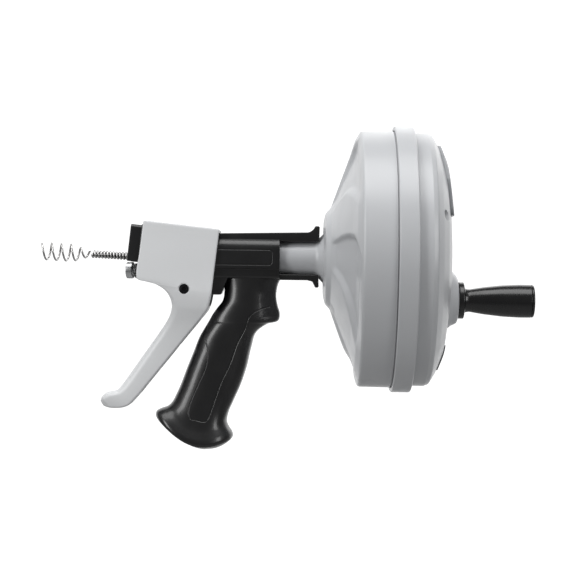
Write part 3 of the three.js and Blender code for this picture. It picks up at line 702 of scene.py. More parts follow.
@dataclass
class Studio:
    """Camera, soft lights and the pale floor."""

    distance: float = 1.35
    aim: tuple[float, float, float] = (-0.1268, 0.0, -0.0234)
    width: float = 0.452
    roll: float = -0.7
    floor: float = -0.9

    def camera(self) -> None:
        """Sets the camera level, square to the tool's left side and rolled a little."""
        data = bpy.data.cameras.new("camera")
        data.sensor_width = 36
        data.lens = 36 * self.distance / self.width
        data.clip_end = 20
        held = bpy.data.objects.new("camera", data)
        held.location = (self.aim[0], self.aim[1] - self.distance, self.aim[2])
        held.rotation_euler = (math.pi / 2, math.radians(self.roll), 0)
        bpy.context.scene.collection.objects.link(held)
        bpy.context.scene.camera = held

    def light(self, name: str, at: Sequence[float], size: Sequence[float], power: float) -> None:
        """Adds a soft box that faces the tool.

        Args:
            name: The light's name.
            at: Its place, from the tool's middle.
            size: Its width and height.
            power: Its power in watts.
        """
        data = bpy.data.lights.new(name, "AREA")
        data.shape = "RECTANGLE"
        data.size, data.size_y = size
        data.energy = power
        lamp = bpy.data.objects.new(name, data)
        lamp.location = Vector(self.aim) + Vector(at)
        lamp.rotation_euler = (-Vector(at)).to_track_quat("-Z", "Y").to_euler()
        bpy.context.scene.collection.objects.link(lamp)

    def lights(self) -> None:
        """Adds the soft boxes and the pale surroundings."""
        self.light("sky_box", (-0.1, -0.35, 1.4), (1.8, 1.0), 21)
        self.light("left_box", (-1.25, -1.0, 0.5), (0.5, 1.1), 13)
        self.light("right_box", (1.3, -1.2, 0.45), (0.5, 1.0), 8.5)
        self.light("back_box", (0.6, 1.5, 0.9), (1.4, 1.2), 4)
        world = bpy.data.worlds.new("surroundings")
        bpy.context.scene.world = world
        world.use_nodes = True
        back = world.node_tree.nodes["Background"]
        back.inputs["Color"].default_value = (1, 1, 1, 1)
        back.inputs["Strength"].default_value = 0.2

    def stage(self) -> None:
        """Adds the floor, which curves up behind the tool."""
        surface = Surface("studio_floor")
        stops = [(0.0, (0.06, 0.06, 0.06)), (1.0, (1.0, 1.0, 1.0))]
        height = surface.along("Z").between(self.floor + 0.02, self.floor + 0.2)
        glow = surface.node("ShaderNodeValToRGB", {"stops": stops}, {0: height})
        surface.set(Base_Color=(0.3, 0.3, 0.3, 1), Roughness=0.9, Emission_Color=glow, Emission_Strength=1.0)
        half, back, rise, bend = 4.0, 2.6, 4.5, 1.2
        line = [(-4.0, 0.0), (back - bend, 0.0)]
        line += [
            (back - bend + bend * math.sin(a), bend - bend * math.cos(a))
            for a in (math.pi / 2 * k / 16 for k in range(1, 17))
        ]
        line.append((back, rise))
        points = [(side, y, self.floor + z) for y, z in line for side in (-half, half)]
        faces = [(2 * k, 2 * k + 1, 2 * k + 3, 2 * k + 2) for k in range(len(line) - 1)]
        mesh = bpy.data.meshes.new("floor")
        mesh.from_pydata(points, [], faces)
        mesh.shade_smooth()
        mesh.materials.append(surface.material)
        floor = bpy.data.objects.new("floor", mesh)
        bpy.context.scene.collection.objects.link(floor)

    def build(self) -> None:
        """Sets up the whole studio."""
        self.camera()
        self.lights()
        self.stage()
        bpy.context.scene.view_settings.view_transform = "Standard"


# --- Drum ---


@dataclass
class Drum:
    """The turning drum: two shells, labels, screws and what they hold."""

    body: str = "drum"
    segments: int = 320
    spacing: float = 1.1
    wall: float = 2.5
    pocket_pitch: float = 72.0
    pocket_centre: float = -14.0
    pocket_edge: float = 3.2
    pocket_fade: float = 9.0
    dish: float = -3.2
    cone_back: float = -68.0

    # A pocket's upper edge, lower edge and depth, each against the distance from the axis.
    pocket_top: tuple[Point, ...] = (
        (45, 16.8), (50, 16.4), (62, 15.6), (74, 13.6), (84, 10.6), (91, 6.6), (97, 0),
    )
    pocket_foot: tuple[Point, ...] = (
        (44, -17), (56, -21.5), (66, -27), (74, -33), (80, -38.5), (86, -44), (92, -48),
    )
    pocket_depths: tuple[Point, ...] = (
        (40, 1.5), (52, 2.2), (64, 3.0), (78, 3.8), (85, 3.4), (91, 2.2), (96, 0.6), (99, 0),
    )

    def __post_init__(self) -> None:
        """Reads the driving places from the frame."""
        self.neck = box("drum_front_shell")[0].x
        self.ring_front = box("drum_back_shell")[0].x
        self.ring_radius = box("drum_back_shell")[1].y
        self.ring_back = self.ring_front + 15
        self.knob_z = middle("knob").z
        self.boss_face = box("knob")[0].x - 0.3

    def pocket(self, radius: float, degrees: float) -> float:
        """How far a hand pocket sinks the cone.

        Args:
            radius: Distance from the drum's axis.
            degrees: Angle above the horizontal, on the left side.
        Returns:
            The depth along the axis.
        """
        pitch = self.pocket_pitch
        angle = (degrees - self.pocket_centre + pitch / 2) % pitch - pitch / 2 + self.pocket_centre
        upper = follow(self.pocket_top, radius)
        lower = follow(self.pocket_foot, radius)
        across = ease(angle, upper, upper - self.pocket_edge) * ease(angle, lower, lower + self.pocket_fade)
        radial = follow(self.pocket_depths, radius) * ease(radius, 39, 46)
        return across * radial

    def sink(self, point: Vector) -> Vector:
        """Moves a point of the cone into its pocket."""
        if point.x < self.cone_back:
            radius = math.hypot(point.y, point.z)
            degrees = math.degrees(math.atan2(point.z, -point.y))
            point.x += self.pocket(radius, degrees)
        return point

    def front_shell(self) -> None:
        """The cone, the cylinder behind it and the neck."""
        outer = [
            (self.neck, 12, 0.8), (-135, 12), (-135, 13.3, 0.6), (-104.5, 14.2, 6), (-99.4, 19.6, 1.2),
            (-99.5, 29, 8), (-98, 35.6, 5), (-94.1, 39.8, 3.5), (-79.4, 80.6), (-75.9, 92.4, 8),
            (-71.6, 100, 3), (self.ring_front - 0.8, 100.35, 0.3), (self.ring_front - 0.4, 99.8),
            (self.ring_front + 11, 99.8),
        ]
        inner = [
            (self.ring_front + 11, 97.6), (-69.2, 97.3, 5), (-73.2, 91.2, 10), (-77, 80), (-91.8, 40.4),
            (-96.9, 33.6, 3), (-96.9, 19, 1.5), (-101.5, 10.6, 6), (self.neck, 9.2),
        ]
        shell = lathe("drum_front", outer + inner, segments=self.segments, spacing=self.spacing)
        shell.shape(self.sink)
        groove = [(-171.8, 10.8), (-171.8, 13), (-169.9, 13), (-169.9, 10.8)]
        shell.cut(lathe("neck_groove", groove, segments=96))
        shell.dress(Finishes.drum, self.body, "drum_front_shell", angle=50)

    def screw_places(self) -> list[tuple[float, float]]:
        """Where the three case screws sit, as (y, z)."""
        places = (middle(f"drum_screw_{i}") for i in (1, 2, 3))
        return [(place.y, place.z) for place in places]

    def dome(self, lift: float = 0.0) -> list[Corner]:
        """The back's dome profile, raised by a height."""
        profile = [(self.dish, 54, 16), (-7.2, 78, 20), (-12.2, 89.5, 9)]
        return [(x + lift, radius, *rounding) for x, radius, *rounding in profile]

    def back_shell(self) -> None:
        """The dished back, its hub, the ring and the knob's boss."""
        rim = self.ring_back
        profile = [
            (0, 0), (0, 15.5, 0.8), (self.dish, 18.4, 2.2), *self.dome(),
            (-16.9, 97.5, 3), (-20.5, 98.9, 1.5),
            (rim - 0.4, 98.9), (rim - 0.4, 99.6), (rim, 100.2, 0.4), (rim, self.ring_radius, 1.2),
            (self.ring_front, self.ring_radius, 1.1), (self.ring_front, 100.9),
            (-34.4, 100.9), (-34.4, 96.4), (-20.2, 96.4, 4), (-14.5, 88.2, 5), (-9.7, 77.3, 10),
            (self.dish - self.wall, 53.6, 8), (self.dish - self.wall, 0),
        ]
        shell = lathe("drum_back", profile, segments=self.segments, spacing=1.6)
        shell.join(self.boss())
        cutters = [rod("bore", (-20, 0, self.knob_z), (20, 0, self.knob_z), 4.3)]
        for y, z in self.screw_places():
            sink = [(-17.4, 0), (-17.4, 4.1), (-10.4, 4.1), (-7.8, 5.2), (5, 5.2), (5, 0)]
            cutters.append(lathe("sink", sink, (0, y, z), segments=48))
        shell.cut(*cutters)
        shell.dress(Finishes.drum, self.body, "drum_back_shell", angle=42)

    def boss(self) -> Form:
        """The knob's boss, which leans to the drum's middle and fairs into the dish."""
        root, face = self.dish - 0.6, self.boss_face

        def lean(point: Vector) -> Vector:
            """Slides each level of the boss by its height."""
            rise = min(max((point.x - root) / (face - root), 0.0), 1.0)
            point.z += 3.4 * (1 - rise)
            return point

        profile = [
            (root, 0), (root, 27), (root + 2, 25, 4), (root + 4.8, 21.8, 5), (face - 1.1, 18.4, 4),
            (face, 15.2, 0.9), (face, 0),
        ]
        return lathe("boss", profile, (0, 0, self.knob_z), segments=128, spacing=1.5).shape(lean)

    def label(self, name: str, node: str, corners: Sequence[Corner], height: float, finish: Finish) -> None:
        """A plate that follows the dome.

        Args:
            name: The piece's name.
            node: The CAD node that it replaces.
            corners: Its outline seen along the axis, as (y, z, radius).
            height: How proud it stands.
            finish: Its finish.
        """
        low = 0.15
        profile = [
            (self.dish + low, 20), *self.dome(low), (-13.6 + low, 92), (-13.6 + height, 92),
            *reversed(self.dome(height)), (self.dish + height, 20),
        ]
        plate = lathe(name, profile, segments=self.segments, spacing=2.0)
        plate.keep(prism("outline", corners, Across.X, -30, 20)).bevel(0.35, 3, 40)
        plate.dress(finish, self.body, node, angle=50)

    def labels(self) -> None:
        """The two plates on the back."""
        top = [
            (-57, 33, 5), (57, 33, 5), (52, 60, 8), (38, 79, 8), (18, 88.5, 18),
            (-18, 88.5, 18), (-38, 79, 8), (-52, 60, 8),
        ]
        self.label("label_top", "label_plate_top", top, 2.3, Finishes.label)
        bottom = [(-36, -66, 3), (5, -66, 3), (5, -85.5, 3), (-27, -85.5, 6)]
        self.label("label_bottom", "label_plate_bottom", bottom, 0.9, Finishes.sticker)

    def cable_store(self) -> None:
        """The stored cable: turns wound side by side in layers."""
        low, high = box("cable_coil")
        across = 6.35
        count = int((high.x - low.x) // across)
        layers = [high.y - across / 2 - across * k for k in range(3)]
        path: list[Vector] = []
        steps = 60
        for number, radius in enumerate(layers):
            for i in range(count * steps):
                t = i / steps
                along = low.x + across / 2 + across * (t if number % 2 == 0 else count - 1 - t) * 0.92
                near = radius - across * ease(t, count - 0.4, count) * (number < len(layers) - 1)
                path.append(around(along, near, 2 * math.pi * t))
        wound = sweep("stored_cable", path, across / 2 - 0.05, 10)
        wound.dress(Finishes.wire, self.body, "cable_coil")

    def lead_in(self) -> None:
        """The cable's lead from the axis out to the coil."""
        reach = box("cable_coil")[1].y - 22 - 4.2
        path = []
        for i in range(61):
            t = i / 60
            path.append(around(-46 + 24 * (1 - (1 - t) ** 3), reach * ease(t, 0, 1), 4 * t**1.5))
        sweep("cable_lead", path, 3.1, 16).dress(Finishes.wire, self.body, "cable_lead_in")

    def case_screws(self) -> None:
        """The screws that hold the two shells together."""
        for number, (y, z) in enumerate(self.screw_places(), 1):
            screw = cross_screw("case_screw", head=3.3, shaft=1.55, length=22)
            screw.place(Matrix.Translation((-17.1, y, z)))
            screw.object.name = f"case_screw_{number}"
            screw.dress(Finishes.blacked, self.body, f"drum_screw_{number}")

    def neck_ring(self) -> None:
        """The snap ring in the neck's groove."""
        path = [around(-170.85, 12.55, math.radians(74 - 328 * k / 90)) for k in range(91)]
        ring = sweep("neck_snap_ring", path, 0.62, 12)
        ring.dress(Finishes.zinc, self.body, "neck_retaining_ring")

    def build(self) -> None:
        """Builds every piece of the drum."""
        self.front_shell()
        self.back_shell()
        self.labels()
        self.cable_store()
        self.lead_in()
        self.case_screws()
        self.neck_ring()
        for node in ("cable_anchor_clip", "anchor_screw", "knob_spindle", "spindle_washer", "spindle_nut",
                     "head_washer"):
            redress(node, Finishes.zinc)


def redress(node: str, finish: Finish) -> None:
    """Gives a CAD node that keeps its shape its finish."""
    shown = frame["nodes"][node]
    for slot in shown.material_slots:
        slot.material = finish.material()
    log.info("%s keeps its CAD shape", node)


def cross_screw(name: str, head: float, shaft: float, length: float) -> Form:
    """A pan-head screw along X, with its seat at 0 and its head towards +X.

    Args:
        name: The piece's name.
        head: Radius of the head.
        shaft: Radius of the shaft.
        length: Length below the seat.
    Returns:
        The screw, with a cross recess and a thread's ridges.
    """
    ridges: list[Corner] = []
    turns = int((length - 4) / 1.2)
    for k in range(turns):
        start = -length + 1.2 + k * 1.2
        ridges += [(start, shaft * 0.82), (start + 0.6, shaft)]
    profile = [
        (-length, 0), (-length, shaft * 0.4), *ridges, (-2.4, shaft), (0, shaft), (0, head),
        (1.0, head, 0.4), (2.3, head * 0.62, 1.2), (2.4, 0),
    ]
    screw = lathe(name, profile, segments=40)
    arm, depth = head * 0.58, 1.3
    cross = [
        block("slot", (2.4 - depth, -arm, -0.35), (4, arm, 0.35)),
        block("slot", (2.4 - depth, -0.35, -arm), (4, 0.35, arm)),
    ]
    return screw.cut(cross[0].join(cross[1]))


# --- Knob ---


@dataclass
class Knob:
    """The turned knob on the drum's back and its end cap."""

    body: str = "knob"

    def build(self) -> None:
        """Builds the knob and its cap."""
        low, high = box("knob")
        place = (low.x, 0, (low.z + high.z) / 2)
        flange = (high.z - low.z) / 2
        grip = [
            (0, 4.5), (0, flange, 0.9), (4.3, flange, 0.9), (4.6, 10.6, 0.4), (5.3, 9.6, 0.6), (8.2, 8.8, 6),
            (19.5, 10.7, 30), (34.5, 12.4, 40), (47.5, 13, 40), (57, 12.95, 0.5),
            (57, 8.2), (34.4, 8.2), (34.4, 4.5),
        ]
        knob = lathe("turning_knob", grip, place, segments=128, spacing=1.2)
        knob.dress(Finishes.knob, self.body, "knob")
        start = box("knob_end_cap")[0].x
        end = box("knob_end_cap")[1].x - start
        cap = [
            (0, 0), (0, 7.9, 0.5), (end - 2.75, 7.9), (end - 2.75, 12.9, 0.3), (end - 0.9, 12.7, 1.0),
            (end - 0.1, 6, 10), (end, 0),
        ]
        cap_place = (start, 0, place[2])
        lathe("knob_cap", cap, cap_place, segments=128).dress(Finishes.knob, self.body, "knob_end_cap")


# --- Cable ---


@dataclass
class Cable:
    """The wound cable: its straight run over a near-black rod that is painted shade inside the winding, and
    the open bulb at its tip.
    """

    body: str = "cable"
    wire: float = 0.82
    strand: float = 0.97
    pitch: float = 2.45
    steps_per_turn: int = 18
    rise: float = 0.05
    nose: float = -253.0
    bulb_turns: float = 5.0

    def middle_height(self, x: float) -> float:
        """Height of the cable's middle: level in the body, then rising past the nose."""
        return self.rise * max(0.0, self.nose - x)

    def run(self) -> None:
        """The tightly wound stretch, and a near-black rod inside it whose colour paints the shade between its
        turns.
        """
        low, high = box("cable_run")
        radius = 3.175 - self.strand
        turns = (high.x - low.x - 1) / self.pitch
        steps = int(turns * self.steps_per_turn)
        path = []
        for i in range(steps + 1):
            x = high.x - 0.5 - self.pitch * i / self.steps_per_turn
            angle = math.pi / 2 - 2 * math.pi * i / self.steps_per_turn
            path.append(around(x, radius, angle, self.middle_height(x)))
        sweep("cable_winding", path, self.strand, 12).dress(Finishes.wire, self.body, "cable_run")
        # Painted shade: a near-black rod inside the winding, so that the gaps between turns look shaded.
        stations = [high.x - 2 + (low.x - high.x + 3) * k / 40 for k in range(41)]
        painted_shade_rod = [Vector((x, 0, self.middle_height(x))) for x in stations]
        sweep("cable_painted_shade", painted_shade_rod, 2.1, 20).dress(Finishes.painted_shade_rod, self.body)

    def bulb(self) -> None:
        """The open, flared winding, right-handed, with its free end drawn in a little."""
        low, high = box("cable_bulb")
        start, end = high.x - 0.6, low.x + self.wire
        steps = int(self.bulb_turns * 44)
        path = []
        for i in range(steps + 1):
            turns = self.bulb_turns * i / steps
            tuck = ease(turns, self.bulb_turns - 0.5, self.bulb_turns)
            radius = 2.4 + 4.05 * ease(turns, 0, 2) - 0.7 * tuck
            x = start + (end - start) * i / steps
            path.append(around(x, radius, math.pi / 2 - 2 * math.pi * turns, self.middle_height(x)))
        sweep("bulb_winding", path, self.wire, 14).dress(Finishes.wire, self.body, "cable_bulb")

    def build(self) -> None:
        """Builds the cable's free end."""
        self.run()
        self.bulb()


# --- Handle body ---


@dataclass
class Body:
    """The black body and grip, moulded in a left and a right half, and what it holds."""

    body: str = "handle"
    half: float = 18.0
    front: float = -228.5
    back: float = -133.5
    seam: float = 0.13
    grip_power: float = 2.5
    grip_sides: int = 132
    line_radius: float = 0.8

    # Front point, back point, half width and sag of the middle, from under the barrel to the base.
    grip_rows: tuple[Row, ...] = (
        (-178, -13, -131, -13, 15.5, 0),
        (-176.6, -26, -135.2, -23, 15.8, 0),
        (-177.8, -33.4, -135.9, -30, 16, 0),
        (-182.3, -39.8, -134.6, -37.6, 16.2, 0),
        (-185.5, -44.5, -133, -43, 16.4, 0),
        (-188, -49, -133.6, -48.4, 16.5, 0),
        (-190.2, -52.8, -142.9, -51.9, 16.6, 0),
        (-195.4, -61.9, -151, -58, 16.8, 0),
        (-200.3, -74.5, -154.7, -69, 17, 0),
        (-205.3, -87.2, -158.4, -85.5, 17, 0),
        (-209.9, -99.8, -163.5, -100.8, 17, 1),
        (-213.3, -107.5, -168.6, -112.5, 17.3, 4),
        (-216.5, -113.6, -172.3, -121.5, 18.4, 8),
        (-219.6, -116.6, -173.4, -127.6, 20, 11),
        (-226.2, -119.2, -171.6, -132.5, 22.3, 13.2),
        (-228.8, -121.4, -169.2, -136.2, 23.4, 13.4),
        (-229, -124.4, -168.4, -139.2, 23.5, 12.8),
        (-227.6, -126.8, -169.4, -141.4, 22.6, 12.2),
        (-223.6, -130, -172, -144, 19.8, 9.6),
        (-216.5, -137.6, -177.5, -147.6, 15, 5),
        (-208.5, -143.6, -183.6, -149.8, 9.4, 1.6),
        (-202, -147.8, -190, -150.6, 4.5, 0.3),
    )

    # The section just under the base's lip.
    lip_row: Row = (-228, -128.2, -169.2, -142.2, 22.8, 11.6)

    # The inset panel's front edge, and its rear edge that runs up to the spur.
    panel_front: tuple[Point, ...] = (
        (-191.5, -63.0), (-188.7, -71.0), (-188.5, -76.5), (-189.6, -85.0), (-195, -98.0), (-200.3, -110.6),
        (-202.6, -117.9), (-202.6, -122.6), (-200.8, -125.6), (-196.6, -126.6), (-189.6, -127.6),
        (-187.8, -126.8),
    )
    panel_rear: tuple[Point, ...] = (
        (-187.4, -126.4), (-183.6, -115.0), (-178.4, -99.5), (-170.6, -82.0), (-165.6, -67.4),
        (-159.8, -55.8), (-156.3, -46.0), (-149.2, -40.8), (-140.5, -38.2),
    )

    def ring(self, row: Row) -> list[Vector]:
        """One oval section of the grip."""
        x0, z0, x1, z1, half, sag = row
        result = []
        for k in range(self.grip_sides):
            angle = 2 * math.pi * k / self.grip_sides
            ahead, side = (
                math.copysign(abs(v) ** (2 / self.grip_power), v) for v in (math.cos(angle), math.sin(angle))
            )
            along = (1 - ahead) / 2
            height = z0 + (z1 - z0) * along - sag * math.sin(math.pi * along)
            result.append(Vector((x0 + (x1 - x0) * along, half * side, height)))
        return result

    def grip(self) -> Form:
        """The grip: oval sections from under the barrel to its flared, domed base."""
        rings = [self.ring(row) for row in smooth_rows(self.grip_rows, 1.1)]
        return Form("grip", *grid(rings, closed=False)).shape(self.scoop)

    def lines(self, grip: Form) -> list[Form]:
        """Cutters for the fine lines: each side's inset panel, and the base's lip.

        Args:
            grip: The grip, whose sides the lines follow.
        Returns:
            The cutters.
        """
        result = [sweep("lip", self.ring(self.lip_row), self.line_radius, 12, closed=True)]
        for side in (-1, 1):
            for edge in (self.panel_front, self.panel_rear):
                path = []
                for x, z in smooth_rows(edge, 1.2):
                    skin = grip.surface_at(Vector((x, side * 60, z)), Vector((0, -side, 0)))
                    path.append(skin + Vector((0, side * 0.4, 0)))
                result.append(sweep("line", path, self.line_radius, 12))
        return result

    def scoop(self, point: Vector) -> Vector:
        """Hollows the sides above and behind the spur, where the web of the hand sits."""
        fall = ease(point.x, -158, -138) * ease(point.z, -49, -45) * ease(point.z, -16, -28)
        point.y *= 1 - 0.18 * fall
        return point

    def barrel(self) -> Form:
        """The barrel: a rounded panel on each side over a lower strip."""
        strip = self.half - 1.5
        section = [
            (-strip, -16.5, 2.5), (strip, -16.5, 2.5), (strip, -9.1), (self.half, -8.4, 0.5),
            (self.half, 15.4, 9.5), (-self.half, 15.4, 9.5), (-self.half, -8.4, 0.5), (-strip, -9.1),
        ]
        form = prism("barrel", section, Across.X, self.front, self.back)
        return form.bevel(1.3, 4, 60)

    def frame_line(self, side: int) -> Form:
        """Cutter for the fine line round a plain field on one side of the barrel."""
        outline = rounded([(-190, -5.8, 2.5), (-139.5, -5.8, 2.5), (-139.5, 6, 2.5), (-190, 6, 2.5)])
        path = [Vector((x, side * (self.half + 0.35), z)) for x, z in outline]
        return sweep("line", path, self.line_radius, 12, closed=True)

    def frame_parts(self) -> list[Form]:
        """The rail over the barrel, the arm under the neck, the lower block and the tongue."""
        rail = [
            (-224, 13), (-224, 17.7), (-110.6, 20.1, 5), (-107.6, 22.4, 1), (-106.1, 25, 1.3),
            (-102.6, 25, 1.3), (-102.9, 12.8), (-140, 12.8),
        ]
        arm = [
            (-140, -12.8), (-103.3, -12.8), (-102.9, -22.9, 1.2), (-105.6, -22.9, 1.2), (-107.8, -18.2, 2.2),
            (-112, -17.2, 2), (-140, -17.2),
        ]
        lower = [
            (self.front, -8), (self.front, -15, 2), (-216, -22, 4), (-210, -29.3, 3), (-179, -29.3, 2),
            (-170, -8),
        ]
        tongue_front = box("body_left_shell")[0].x
        tongue = [
            (tongue_front, -5.6), (self.front + 1, -5.6), (self.front + 1, -17.5), (tongue_front, -17.5, 2),
        ]
        return [
            prism("rail", rail, Across.Y, -13, 13).bevel(0.7, 3, 40),
            prism("arm", arm, Across.Y, -12, 12).bevel(0.7, 3, 40),
            prism("lower", lower, Across.Y, -15.6, 15.6).bevel(1.2, 3, 40),
            prism("tongue", tongue, Across.Y, -8, 8).bevel(0.5, 3, 40),
        ]

    def cutters(self) -> list[Form]:
        """What is taken out: bores, the spring's bay, the pins' holes and the screws' recesses."""
        pivot, _ = joint("trigger_squeeze")
        roller, axis = joint("lower_roller_spin")
        result = [
            rod("journal", (-178, 0, 0), (self.back + 8, 0, 0), 14.5, 96),
            rod("groove", (-174, 0, 0), (-168, 0, 0), 15.1, 96),
            rod("neck_room", (self.back - 2, 0, 0), (-90, 0, 0), 15.1, 128),
            rod("guide", (-240, 0, 0), (-170, 0, 0), 5.8, 48),
            rod("pivot", (pivot.x, -30, pivot.z), (pivot.x, 30, pivot.z), 3.3, 48),
            block("bay", (-216, -6.5, -36), (-198.6, 6.5, -16.2)),
            rod("pin", roller - axis * 12, roller + axis * 16, 2.15, 32),
            self.frame_line(-1),
            self.frame_line(1),
        ]
        for number in range(1, 7):
            low, high = box(f"body_screw_{number}")
            x, z = (low.x + high.x) / 2, (low.z + high.z) / 2
            result.append(rod("recess", (x, high.y - 2.5, z), (x, 30, z), 3.7, 40))
        return result

    def shells(self) -> None:
        """Both halves of the body."""
        grip = self.grip()
        lines = self.lines(grip)
        whole = self.barrel().join(*self.frame_parts(), grip).cut(*self.cutters(), *lines)
        for side, hand in ((-1, "left"), (1, "right")):
            low, high = sorted((side * self.seam, side * 60))
            shell = whole.copy(f"body_{hand}")
            shell.keep(block("half", (-300, low, -200), (0, high, 60)))
            shell.dress(Finishes.body, self.body, f"body_{hand}_shell", angle=32)
        bpy.data.objects.remove(whole.object)

    def small_parts(self) -> None:
        """Bushing, cable guide, pivot pin, return spring and screws."""
        low, high = box("neck_bushing")
        bush = [(0, 12.3), (0, 14.2, 0.5), (high.x - low.x, 14.2, 0.5), (high.x - low.x, 12.3)]
        lathe("bushing", bush, (low.x, 0, 0), segments=96).dress(Finishes.nylon, self.body, "neck_bushing")
        low, high = box("cable_guide")
        span = high.x - low.x
        guide = [(0, 3.6), (-0.2, 4.6, 0.4), (0, 5.5, 0.3), (span, 5.5, 0.3), (span, 3.6, 0.3)]
        lathe("guide_tube", guide, (low.x, 0, 0), segments=64).dress(Finishes.nylon, self.body, "cable_guide")
        self.pivot_pin()
        self.return_spring()
        for number in range(1, 7):
            low, high = box(f"body_screw_{number}")
            screw = cross_screw("screw", head=3.2, shaft=1.55, length=high.y - low.y - 2.2)
            turn = Matrix.Rotation(math.pi / 2, 4, "Z")
            seat = Vector(((low.x + high.x) / 2, high.y - 2.2, (low.z + high.z) / 2))
            screw.place(Matrix.Translation(seat) @ turn)
            screw.object.name = f"shell_screw_{number}"
            screw.dress(Finishes.blacked, self.body, f"body_screw_{number}")

    def pivot_pin(self) -> None:
        """The pin that the trigger turns on: a domed head, a driver's hollow and a clip groove."""
        low, high = box("pivot_pin")
        pivot, _ = joint("trigger_squeeze")
        length = high.y - low.y
        profile = [
            (1.4, 0), (1.4, 1.7), (0.0, 1.9, 0.2), (0.35, 3.6, 0.6), (1.9, 3.6), (1.9, 3),
            (42.7, 3), (42.7, 2.4), (43.9, 2.4), (43.9, 3), (length, 3, 0.5), (length, 0),
        ]
        place = (pivot.x, low.y, pivot.z)
        lathe("trigger_pivot", profile, place, (0, 1, 0)).dress(Finishes.blacked, self.body, "pivot_pin")
        redress("pivot_clip", Finishes.zinc)

    def return_spring(self) -> None:
        """The torsion spring round the pivot pin."""
        pivot, _ = joint("trigger_squeeze")
        radius, wire, turns, steps_per_turn = 5.0, 0.7, 3.5, 40
        path = [Vector((7.4, 4.6, 7.3)), Vector((5.4, 4.6, 6.7)), Vector((3.6, 4.6, 5.9))]
        steps = int(turns * steps_per_turn)
        for i in range(steps + 1):
            angle = math.pi / 2 + 2 * math.pi * i / steps_per_turn
            along = 4.4 - 8.8 * i / steps
            path.append(Vector((radius * math.cos(angle), along, radius * math.sin(angle))))
        path += [Vector((3.6, -4.6, -5.6)), Vector((5.4, -4.6, -6.5)), Vector((7, -4.6, -7.4))]
        spring = sweep("return_spring", path, wire, 12).place(Matrix.Translation(pivot))
        spring.dress(Finishes.zinc, self.body, "trigger_return_spring")

    def build(self) -> None:
        """Builds the body and what it holds."""
        self.shells()
        self.small_parts()


# --- Rollers ---


@dataclass
class FeedRoller:
    """A bearing used as a feed roller: outer ring, recessed seal and the pin that it turns on."""

    where: str
    pin_body: str
    pin_tail: float
    half: float = 2.5
    radius: float = 6.5

    def build(self) -> None:
        """Builds the roller and its pin."""
        height, _, hand = self.where.partition("_")
        hand = f"_{hand}" if hand else ""
        point, axis = joint(f"{height}_roller{hand}_spin")
        ring = [
            (-self.half, 2.1), (-self.half, 3.2, 0.15), (-self.half + 0.35, 3.35), (-self.half + 0.35, 5.1),
            (-self.half, 5.25), (-self.half, self.radius, 0.55), (self.half, self.radius, 0.55),
            (self.half, 5.25), (self.half - 0.35, 5.1), (self.half - 0.35, 3.35), (self.half, 3.2, 0.15),
            (self.half, 2.1),
        ]
        roller = lathe(f"{self.where}_roller", ring, point, axis, 96)
        roller.dress(Finishes.chrome, f"{height}_roller{hand}", f"{height}_feed_roller{hand}")
        pin = [
            (-self.half, 0), (-self.half, 1.5, 0.3), (-self.half + 0.35, 1.85), (self.pin_tail, 1.85, 0.4),
            (self.pin_tail, 0),
        ]
        held = lathe(f"{self.where}_pin", pin, point, axis, 48)
        held.dress(Finishes.zinc, self.pin_body, f"{height}_roller_pin{hand}")


# --- Trigger ---


